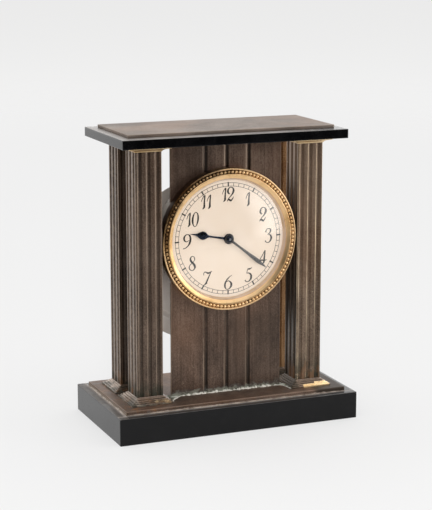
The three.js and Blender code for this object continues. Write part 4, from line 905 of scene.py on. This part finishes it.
DIGITS = {
    "0": [[(0.06, 1.0, 0.04), (0.17, 0.88, 0.065), (0.215, 0.62, 0.10), (0.18, 0.33, 0.09), (0.09, 0.09, 0.055), (-0.03, 0.0, 0.04), (-0.14, 0.1, 0.06), (-0.2, 0.36, 0.11), (-0.17, 0.65, 0.095), (-0.07, 0.91, 0.055), (0.06, 1.0, 0.04)]],
    "1": [[(-0.22, 0.52, 0.028), (-0.17, 0.68, 0.04), (-0.08, 0.85, 0.045), (0.02, 0.965, 0.04)],
          [(0.055, 1.0, 0.03), (0.035, 0.88, 0.08), (0.012, 0.65, 0.08), (-0.008, 0.35, 0.10), (-0.008, 0.2, 0.115), (-0.025, 0.13, 0.105), (-0.075, 0.065, 0.075), (-0.14, 0.0, 0.028)]],
    "2": [[(-0.06, 0.555, 0.045), (-0.15, 0.565, 0.085), (-0.21, 0.68, 0.11), (-0.195, 0.83, 0.095), (-0.11, 0.955, 0.058), (0.015, 1.0, 0.048), (0.15, 0.935, 0.07), (0.21, 0.79, 0.115), (0.18, 0.635, 0.115), (0.08, 0.47, 0.072), (-0.08, 0.305, 0.05), (-0.22, 0.13, 0.038), (-0.28, 0.01, 0.03)],
          [(-0.27, 0.03, 0.03), (-0.2, 0.125, 0.07), (-0.135, 0.14, 0.10), (-0.07, 0.10, 0.11), (0.005, 0.055, 0.10), (0.08, 0.115, 0.07), (0.17, 0.235, 0.045), (0.225, 0.33, 0.02)]],
    "3": [[(-0.18, 0.73, 0.075), (-0.175, 0.86, 0.06), (-0.07, 0.975, 0.045), (0.08, 0.985, 0.06), (0.17, 0.88, 0.10), (0.13, 0.73, 0.08), (0.02, 0.62, 0.045), (-0.06, 0.58, 0.028)],
          [(-0.06, 0.58, 0.028), (0.07, 0.575, 0.05), (0.19, 0.47, 0.10), (0.22, 0.29, 0.115), (0.12, 0.08, 0.075), (-0.03, 0.0, 0.045), (-0.17, 0.04, 0.05), (-0.235, 0.15, 0.075)]],
    "4": [[(0.17, 1.0, 0.05), (0.02, 0.74, 0.045), (-0.18, 0.42, 0.04), (-0.28, 0.27, 0.045)],
          [(-0.28, 0.27, 0.045), (-0.1, 0.30, 0.075), (0.1, 0.27, 0.07), (0.3, 0.31, 0.028)],
          [(0.17, 1.0, 0.06), (0.14, 0.7, 0.08), (0.105, 0.4, 0.095), (0.085, 0.2, 0.105), (0.05, 0.1, 0.085), (-0.06, 0.0, 0.028)]],
    "5": [[(-0.06, 0.93, 0.05), (0.02, 0.905, 0.09), (0.14, 0.93, 0.07), (0.26, 1.0, 0.025)],
          [(-0.06, 0.93, 0.045), (-0.1, 0.78, 0.04), (-0.14, 0.6, 0.035)],
          [(-0.14, 0.6, 0.035), (-0.03, 0.63, 0.05), (0.12, 0.56, 0.09), (0.2, 0.4, 0.12), (0.17, 0.2, 0.11), (0.05, 0.05, 0.065), (-0.1, 0.005, 0.045), (-0.22, 0.05, 0.06), (-0.26, 0.14, 0.07)]],
    "6": [[(0.28, 0.985, 0.025), (0.085, 0.865, 0.05), (-0.105, 0.66, 0.078), (-0.225, 0.43, 0.10), (-0.24, 0.235, 0.10), (-0.175, 0.06, 0.06), (-0.05, 0.0, 0.04), (0.11, 0.06, 0.07), (0.225, 0.225, 0.115), (0.235, 0.4, 0.115), (0.135, 0.545, 0.07), (0.0, 0.60, 0.04), (-0.11, 0.53, 0.03)]],
    "7": [[(-0.27, 0.71, 0.03), (-0.275, 0.85, 0.045), (-0.205, 0.95, 0.05), (-0.095, 0.93, 0.065), (0.03, 0.86, 0.10), (0.165, 0.89, 0.075), (0.34, 0.985, 0.025)],
          [(0.26, 0.92, 0.035), (0.135, 0.67, 0.062), (0.03, 0.445, 0.078), (-0.065, 0.24, 0.095), (-0.115, 0.145, 0.10), (-0.2, 0.07, 0.06), (-0.31, 0.005, 0.025)],
          [(-0.12, 0.15, 0.08), (-0.07, 0.14, 0.055), (-0.01, 0.13, 0.02)]],
    "8": [[(0.17, 0.86, 0.055), (0.13, 0.955, 0.045), (0.03, 1.0, 0.04), (-0.09, 0.94, 0.06), (-0.135, 0.8, 0.10), (-0.08, 0.66, 0.12), (0.05, 0.52, 0.12), (0.17, 0.36, 0.12), (0.2, 0.2, 0.10), (0.12, 0.05, 0.055), (-0.02, 0.0, 0.04), (-0.17, 0.08, 0.055), (-0.225, 0.24, 0.06), (-0.15, 0.4, 0.045), (0.0, 0.53, 0.035), (0.13, 0.66, 0.035), (0.19, 0.77, 0.045), (0.17, 0.86, 0.055)]],
    "9": [[(-0.31, 0.035, 0.06), (-0.24, 0.03, 0.045), (-0.13, 0.06, 0.045), (0.06, 0.21, 0.065), (0.195, 0.43, 0.11), (0.24, 0.675, 0.115), (0.195, 0.885, 0.09), (0.05, 1.0, 0.045), (-0.13, 0.95, 0.07), (-0.235, 0.76, 0.105), (-0.19, 0.58, 0.085), (-0.075, 0.505, 0.055), (0.04, 0.53, 0.035), (0.14, 0.6, 0.028)]],
}


def spline(points, n=8):
    """Catmull-Rom through points of (x, y, width)."""
    p = [Vector(q) for q in points]
    p = [p[0] * 2 - p[1]] + p + [p[-1] * 2 - p[-2]]
    out = []
    for i in range(1, len(p) - 2):
        a, b, c, d = p[i - 1], p[i], p[i + 1], p[i + 2]
        for k in range(n):
            t = k / n
            out.append(0.5 * ((2 * b) + (c - a) * t + (2 * a - 5 * b + 4 * c - d) * t * t + (3 * b - a - 3 * c + d) * t ** 3))
    out.append(p[-2])
    return out


def brush(bm, points, x, z, height, y, thick=0.035):
    """A pen stroke of changing width, raised a hair off the dial."""
    pts = spline(points)
    rows = []
    for i, q in enumerate(pts):
        a, b = pts[max(0, i - 1)], pts[min(len(pts) - 1, i + 1)]
        d = Vector((b.x - a.x, b.y - a.y))
        d = d.normalized() if d.length > 1e-9 else Vector((1, 0))
        n = Vector((-d.y, d.x))
        w = max(0.016, q.z) * 0.62
        end = 0.55 if i in (0, len(pts) - 1) else 1.0
        l = Vector((q.x, q.y)) + n * w * end
        r = Vector((q.x, q.y)) - n * w * end
        rows.append([(x + height * p.x, yy, z + height * p.y) for p, yy in ((l, y), (r, y), (r, y - thick), (l, y - thick))])
    loft(bm, rows)


def write(bm, text, x, z, height):
    spots = {1: (0.0,), 2: (-0.225, 0.19)}[len(text)]
    for ch, dx in zip(text, spots):
        for stroke in DIGITS[ch]:
            brush(bm, stroke, x + dx * height, z - height / 2, height, DIAL_Y + 0.005)


bm = bmesh.new()
for h in range(1, 13):
    a = TAU * h / 12
    rr = 25.65 if h in (2, 3, 4, 9, 10) else 26.1
    write(bm, str(h), rr * math.sin(a), CZ + rr * math.cos(a), 8.4)
piece("dial_numerals", bm, INK, crease=60)

bm = bmesh.new()
for r0, r1 in ((30.88, 31.14), (32.88, 33.14)):
    lathe(bm, [(r0, DIAL_Y + 0.005), (r1, DIAL_Y + 0.005), (r1, DIAL_Y - 0.03), (r0, DIAL_Y - 0.03)], 180, closed=True)
for m in range(60):
    a = TAU * m / 60
    s, c = math.sin(a), math.cos(a)
    hour = m % 5 == 0
    r0, r1, w = (30.7, 33.4, 0.42) if hour else (31.0, 33.0, 0.15)
    quad = [(r0, -w), (r1, -w), (r1, w), (r0, w)]
    y = DIAL_Y + 0.005
    loft(bm, [[(r * s + t * c, yy, CZ + r * c - t * s) for r, t in quad] for yy in (y, y - 0.04)])
piece("dial_minute_track", bm, INK, crease=60)


# ------------------------------------------------------------------ hands
def hand(bm, stations, boss, bore, degrees, y0, edge, ridge):
    """A hand with a ridge along its middle over a round boss; stations are (distance, half width)."""
    a = math.radians(degrees)
    s, c = math.sin(a), math.cos(a)

    def at(t, w, y):
        return (t * s + w * c, y, CZ + t * c - w * s)

    st = []
    for i, (t, w) in enumerate(stations[:-1]):
        t2, w2 = stations[i + 1]
        for k in range(3):
            st.append((t + (t2 - t) * k / 3, w + (w2 - w) * k / 3))
    st.append(stations[-1])
    rows = []
    for t, w in st:
        w = max(w, 0.03)
        k = min(1.0, w / 0.9) ** 0.7
        rows.append([at(t, -w, y0), at(t, w, y0), at(t, w, y0 - edge), at(t, w * 0.1, y0 - edge - ridge * k), at(t, -w * 0.1, y0 - edge - ridge * k), at(t, -w, y0 - edge)])
    loft(bm, rows)
    lathe(bm, soften([(bore, y0), (boss, y0), (boss, y0 - edge - 0.12), (boss - 0.25, y0 - edge - 0.26), (bore, y0 - edge - 0.26)], 0.08, 2, closed=True), 48, closed=True)


bm = bmesh.new()
HOUR = [(2.4, 0.72), (9, 0.5), (12.6, 0.55), (13.6, 0.95), (14.4, 1.65), (15.4, 2.22), (16.6, 2.45), (17.8, 2.2), (19.0, 1.55), (20.0, 0.95), (21.2, 0.5), (22.6, 0.3), (24.8, 0.05)]
hand(bm, HOUR, 3.1, 1.98, 280.7, -19.92, 0.10, 0.34)
piece("hour_hand_blade", bm, BLUED, ["hour_hand"], body="hour_train", crease=24)

bm = bmesh.new()
MINUTE = [(2.2, 0.72), (8, 0.62), (16, 0.92), (21, 1.2), (23.5, 1.2), (26, 0.85), (30.5, 0.05)]
hand(bm, MINUTE, 2.8, 1.05, 128.3, -20.72, 0.10, 0.26)
piece("minute_hand_blade", bm, BLUED_RUBBED, ["minute_hand"], body="minute_train", crease=24)

bm = bmesh.new()
lathe(bm, soften([(0.72, -21.05), (1.95, -21.05), (1.95, -21.4), (1.7, -21.85), (1.25, -22.1), (0.95, -22.0), (0.72, -21.7)], 0.14, 3, closed=True), 48, closed=True)
piece("hand_collet", bm, BLUED, ["hand_nut"], body="minute_train", crease=50)

# ------------------------------------------------------------------ movement can, rear cover, knob and key
BARREL = Vector(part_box("winding_arbor")[0]).lerp(Vector(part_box("winding_arbor")[1]), 0.5) / MM
BX, BZ = BARREL.x, BARREL.z

bm = bmesh.new()
prof = [(0, 15.2), (29.9, 15.2), (30.7, 14.4), (30.7, -12.7), (34.0, -12.7, 0.15), (34.3, -12.2, 0.2), (34.0, -11.7, 0.15), (32.1, -11.7, 0.4), (31.5, -11.1, 0.3), (31.5, 2.0, 0.05), (31.65, 2.1, 0.1), (31.65, 2.9, 0.1), (31.5, 3.0, 0.05), (31.5, 14.6, 0.6), (30.2, 16.0, 0.6), (24.0, 16.0, 0.05), (23.6, 16.25, 0.1), (22.6, 16.25, 0.1), (22.2, 16.0, 0.05), (0, 16.0)]
lathe(bm, soften(prof, 0.2, 3), 96)
bm = carve(bm, rod_cut(0, CZ, 1.5, 13, 18), rod_cut(BX, BZ, 2.1, 13, 18))
# painted shade: the can darkens towards its top
piece("movement_can", bm, SATIN, ["movement_case"], crease=34, paint=lambda v: (0, max(0.0, min(1.0, (v.z - 98) / 14))))

CVZ = 91.2
bm = bmesh.new()
prof = [(0, 27.0), (38.5, 27.0, 0.8), (41.0, 22.95, 0.4), (49.5, 22.95, 0.1), (49.9, 23.2, 0.15), (49.9, 23.6, 0.15), (49.5, 23.8, 0.15), (41.6, 23.75, 0.5), (39.0, 27.8, 0.9), (34.0, 27.8, 0.05), (33.8, 27.55, 0.1), (33.2, 27.55, 0.1), (33.0, 27.8, 0.05), (0, 27.8)]
lathe(bm, soften(prof, 0.2, 4), 144, cz=CVZ)
bm = carve(bm, rod_cut(0, CZ, 2.2, 20, 30), rod_cut(BX, BZ, 2.6, 20, 30), rod_cut(-47.75, CVZ, 1.3, 20, 30), rod_cut(47.75, CVZ, 1.3, 20, 30))


def cover_marks(v):
    """The outside is darker than the side turned to the columns; the upper part of that side carries painted shade."""
    r = math.hypot(v.x, v.z - CVZ)
    back = v.y > 23.45 if r > 41.3 else v.y > 27.3 if r < 39.2 else r + 0.63 * (v.y - 23.35) > 41.2
    return (1, 0) if back else (0, max(0.0, min(0.6, (v.z - 98) / 16)))


piece("rear_cover_dish", bm, SATIN, ["rear_cover"], crease=34, paint=cover_marks)

for side, s in (("left", -1), ("right", 1)):
    bm = bmesh.new()
    lathe(bm, soften([(0, 16), (1.0, 16, 0), (1.0, 23.8, 0), (1.9, 23.8, 0.05), (1.9, 24.6, 0.15), (1.55, 25.1, 0.3), (0.9, 25.35, 0.3), (0, 25.4)], 0.1, 3), 32, s * 47.75, CVZ)
    slot = bmesh.new()
    prism(slot, [(s * 47.75 - 3, CVZ - 0.28), (s * 47.75 + 3, CVZ - 0.28), (s * 47.75 + 3, CVZ + 0.28), (s * 47.75 - 3, CVZ + 0.28)], 24.75, 27, "y")
    bm = carve(bm, slot)
    piece("cover_screw_head_" + side, bm, STEEL, ["cover_screw_" + side], crease=35)

bm = bmesh.new()
KN = 30


def knurl(k, a):
    return -0.28 * (0.5 + 0.5 * math.cos(KN * a)) if 5 <= k <= 8 else 0.0


lathe(bm, [(1.15, 29.0), (3.2, 29.0), (3.4, 29.2), (3.4, 30.6), (4.9, 31.0), (5.45, 31.5), (5.5, 31.9), (5.5, 35.9), (5.4, 36.3), (4.9, 36.8), (4.3, 37.0), (2.4, 37.0), (2.2, 36.6), (1.15, 36.6)], KN * 8, closed=True, ripple=knurl)
piece("set_knob_knurled", bm, BRASS, ["set_knob"], body="minute_train", crease=40)

bm = bmesh.new()
lathe(bm, soften([(1.75, 29.0), (3.0, 29.0, 0.2), (3.0, 33.4, 0.3), (2.5, 34.0, 0.3), (2.1, 36.0, 0.2), (1.9, 38.0, 0.3), (0, 38.3), (0, 34.0), (1.75, 34.0)], 0.1, 3, closed=True)[:], 40, BX, BZ)
WING = []
for i in range(48):
    a = TAU * i / 48
    rr = 9.3 * (abs(math.cos(a)) ** 0.55) * (1 - 0.16 * math.cos(4 * a) ** 2 * (abs(math.cos(a)) < 0.85))
    WING.append((rr * math.cos(a), 3.6 * math.sin(a) * (0.55 + 0.75 * abs(math.cos(a)) ** 1.2)))
wing = bmesh.new()
rows = []
for y, k in ((35.2, 0.94), (35.45, 1.0), (36.75, 1.0), (37.0, 0.94)):
    rows.append([(BX + x * (1 - (1 - k) * 0.35), y, BZ + z * k) for x, z in WING])
loft(wing, rows)
wing = carve(wing, rod_cut(BX - 5.9, BZ, 1.25, 34, 39), rod_cut(BX + 5.9, BZ, 1.25, 34, 39))
me = bpy.data.meshes.new("tmp_wing")
wing.to_mesh(me)
wing.free()
bm.from_mesh(me)
bpy.data.meshes.remove(me)
piece("winding_key_wings", bm, BRASS, ["winding_key"], body="winding_train", crease=35)

# ------------------------------------------------------------------ finishes of the CAD pieces that stay
STEEL_NODES = ("tie_rod", "case_screw", "mainspring", "winding_arbor", "ratchet", "click", "pallet", "hairspring", "centre_arbor", "cover_screw")
for name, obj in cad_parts.items():
    finish = STEEL if name.startswith(STEEL_NODES) else BRASS
    obj.data.materials.clear()
    obj.data.materials.append(finish)

# ------------------------------------------------------------------ floor, light and camera
def floor():
    """A pale sheet that thins out to nothing well away from the clock, so that it has no edge."""
    t = Nodes("studio_floor")
    cloud = t.noise(1.3, detail=3)
    col = t.ramp(cloud, [(0.3, FLOOR_TONE[0]), (0.7, FLOOR_TONE[1])])
    lit = t.add("ShaderNodeBsdfDiffuse")
    t.put(lit.inputs["Color"], col)
    glow = t.add("ShaderNodeEmission")
    glow.inputs["Color"].default_value = (1, 1, 1, 1)
    glow.inputs["Strength"].default_value = FLOOR_GLOW
    s = t.add("ShaderNodeAddShader")
    t.put(s.inputs[0], lit.outputs[0])
    t.put(s.inputs[1], glow.outputs[0])
    near = t.span(t.axis("Y"), -0.66, -0.26)
    m = t.add("ShaderNodeMapping")
    m.inputs["Location"].default_value = (0, -0.35, 0)
    t.put(m.inputs["Vector"], t.coord.outputs["Object"])
    d = t.add("ShaderNodeVectorMath", operation="LENGTH")
    t.put(d.inputs[0], m.outputs["Vector"])
    shown = t.both(near, t.span(d.outputs["Value"], 0.75, 1.9, 1.0, 0.0))
    clear = t.add("ShaderNodeBsdfTransparent")
    both = t.add("ShaderNodeMixShader")
    t.put(both.inputs[0], shown)
    t.put(both.inputs[1], clear.outputs[0])
    t.put(both.inputs[2], s.outputs[0])
    out = t.add("ShaderNodeOutputMaterial")
    t.put(out.inputs["Surface"], both.outputs[0])
    b = bmesh.new()
    for x, y in ((-2.2, -0.68), (2.2, -0.68), (2.2, 2.4), (-2.2, 2.4)):
        b.verts.new((x, y, 0))
    b.faces.new(b.verts)
    me = bpy.data.meshes.new("floor")
    b.to_mesh(me)
    b.free()
    o = bpy.data.objects.new("floor", me)
    me.materials.append(t.mat)
    bpy.context.scene.collection.objects.link(o)


FLOOR_TONE = ((0.25, 0.25, 0.25), (0.255, 0.255, 0.255))
FLOOR_GLOW = 0.565
floor()


def area(name, at, target, size, radiance, colour=(1, 1, 1), glossy=True, diffuse=True):
    d = bpy.data.lights.new(name, "AREA")
    d.shape = "RECTANGLE"
    d.size, d.size_y = size
    d.energy = radiance * math.pi * size[0] * size[1]
    d.color = colour
    o = bpy.data.objects.new(name, d)
    o.location = at
    o.rotation_mode = "QUATERNION"
    o.rotation_quaternion = (Vector(target) - Vector(at)).to_track_quat("-Z", "Y")
    o.visible_camera = False
    o.visible_glossy, o.visible_diffuse = glossy, diffuse
    bpy.context.scene.collection.objects.link(o)


area("right_wall", (1.4, 0.12, 0.5), (0, 0.12, 0.35), (1.3, 1.1), 3.0, diffuse=False)
area("right_window", (0.72, -0.60, 0.14), (0, 0, 0.12), (0.36, 0.26), 5.0, glossy=False)
area("front_fill", (-0.61, -1.59, 0.60), (0, 0, 0.1), (0.36, 0.80), 23.0, glossy=False)

world = bpy.data.worlds.new("studio")
bpy.context.scene.world = world
world.use_nodes = True
wt = world.node_tree
wt.nodes.clear()


def wnode(kind, **props):
    n = wt.nodes.new(kind)
    for k, v in props.items():
        setattr(n, k, v)
    return n


def wspan(value, a, b, c, d):
    n = wnode("ShaderNodeMapRange", interpolation_type="SMOOTHSTEP")
    for k, v in zip(("From Min", "From Max", "To Min", "To Max"), (a, b, c, d)):
        n.inputs[k].default_value = v
    wt.links.new(value, n.inputs["Value"])
    return n.outputs["Result"]


def wmath(how, a, b):
    n = wnode("ShaderNodeMath", operation=how)
    for socket, v in zip(n.inputs, (a, b)):
        if isinstance(v, bpy.types.NodeSocket):
            wt.links.new(v, socket)
        else:
            socket.default_value = v
    return n.outputs[0]


# bright behind, overhead and to the right; dark in front, where the room is
wc = wnode("ShaderNodeTexCoord")
wd = wnode("ShaderNodeSeparateXYZ")
wt.links.new(wc.outputs["Generated"], wd.inputs[0])
around = wmath("MAXIMUM", wspan(wd.outputs["Y"], -0.15, 0.4, 0.03, 1.35), wspan(wd.outputs["X"], 0.5, 0.85, 0.0, 1.25))
glow = wmath("MAXIMUM", around, wspan(wd.outputs["Z"], 0.3, 0.75, 0.0, 1.3))
# a soft window at the right of the room and a sheet over the camera, seen only in polished surfaces
lp = wnode("ShaderNodeLightPath")
lift = wmath("MULTIPLY", wmath("MAXIMUM", wd.outputs["Z"], 0.0), 0.7)
band = wmath("MULTIPLY", wspan(wmath("ADD", wd.outputs["X"], lift), 0.54, 0.74, 0.0, 2.1), wspan(wd.outputs["X"], 0.84, 0.92, 1.0, 0.0))
band = wmath("MULTIPLY", band, wspan(wd.outputs["Y"], -0.3, 0.0, 1.0, 0.0))
band = wmath("MULTIPLY", band, wspan(wd.outputs["Z"], 0.15, 0.5, 1.0, 0.0))
above = wmath("MULTIPLY", wspan(wd.outputs["Z"], 0.28, 0.5, 0.0, 0.6), wspan(wd.outputs["Y"], -0.5, -0.2, 1.0, 0.0))
band = wmath("ADD", band, above)
glow = wmath("ADD", glow, wmath("MULTIPLY", band, lp.outputs["Is Glossy Ray"]))
mx = wnode("ShaderNodeMix", data_type="FLOAT")
wt.links.new(lp.outputs["Is Camera Ray"], mx.inputs[0])
wt.links.new(glow, mx.inputs[2])
wt.links.new(wspan(wd.outputs["Z"], -0.16, -0.04, 0.93, 0.83), mx.inputs[3])
bg = wnode("ShaderNodeBackground")
bg.inputs["Color"].default_value = (1.0, 0.998, 0.995, 1)
wt.links.new(mx.outputs[0], bg.inputs["Strength"])
wo = wnode("ShaderNodeOutputWorld")
wt.links.new(bg.outputs[0], wo.inputs["Surface"])

scene = bpy.context.scene
scene.view_settings.view_transform = "Standard"
scene.view_settings.look = "None"

cam = bpy.data.cameras.new("camera")
cam.sensor_width = 36.0
cam.lens = 116.5995
cam.clip_start, cam.clip_end = 0.05, 60
eye = bpy.data.objects.new("camera", cam)
eye.location = (-0.36615, -0.89187, 0.29477)
eye.rotation_mode = "QUATERNION"
eye.rotation_quaternion = (Vector((0.000086, 0, 0.098049)) - eye.location).to_track_quat("-Z", "Y")
scene.collection.objects.link(eye)
scene.camera = eye

bpy.context.view_layer.update()
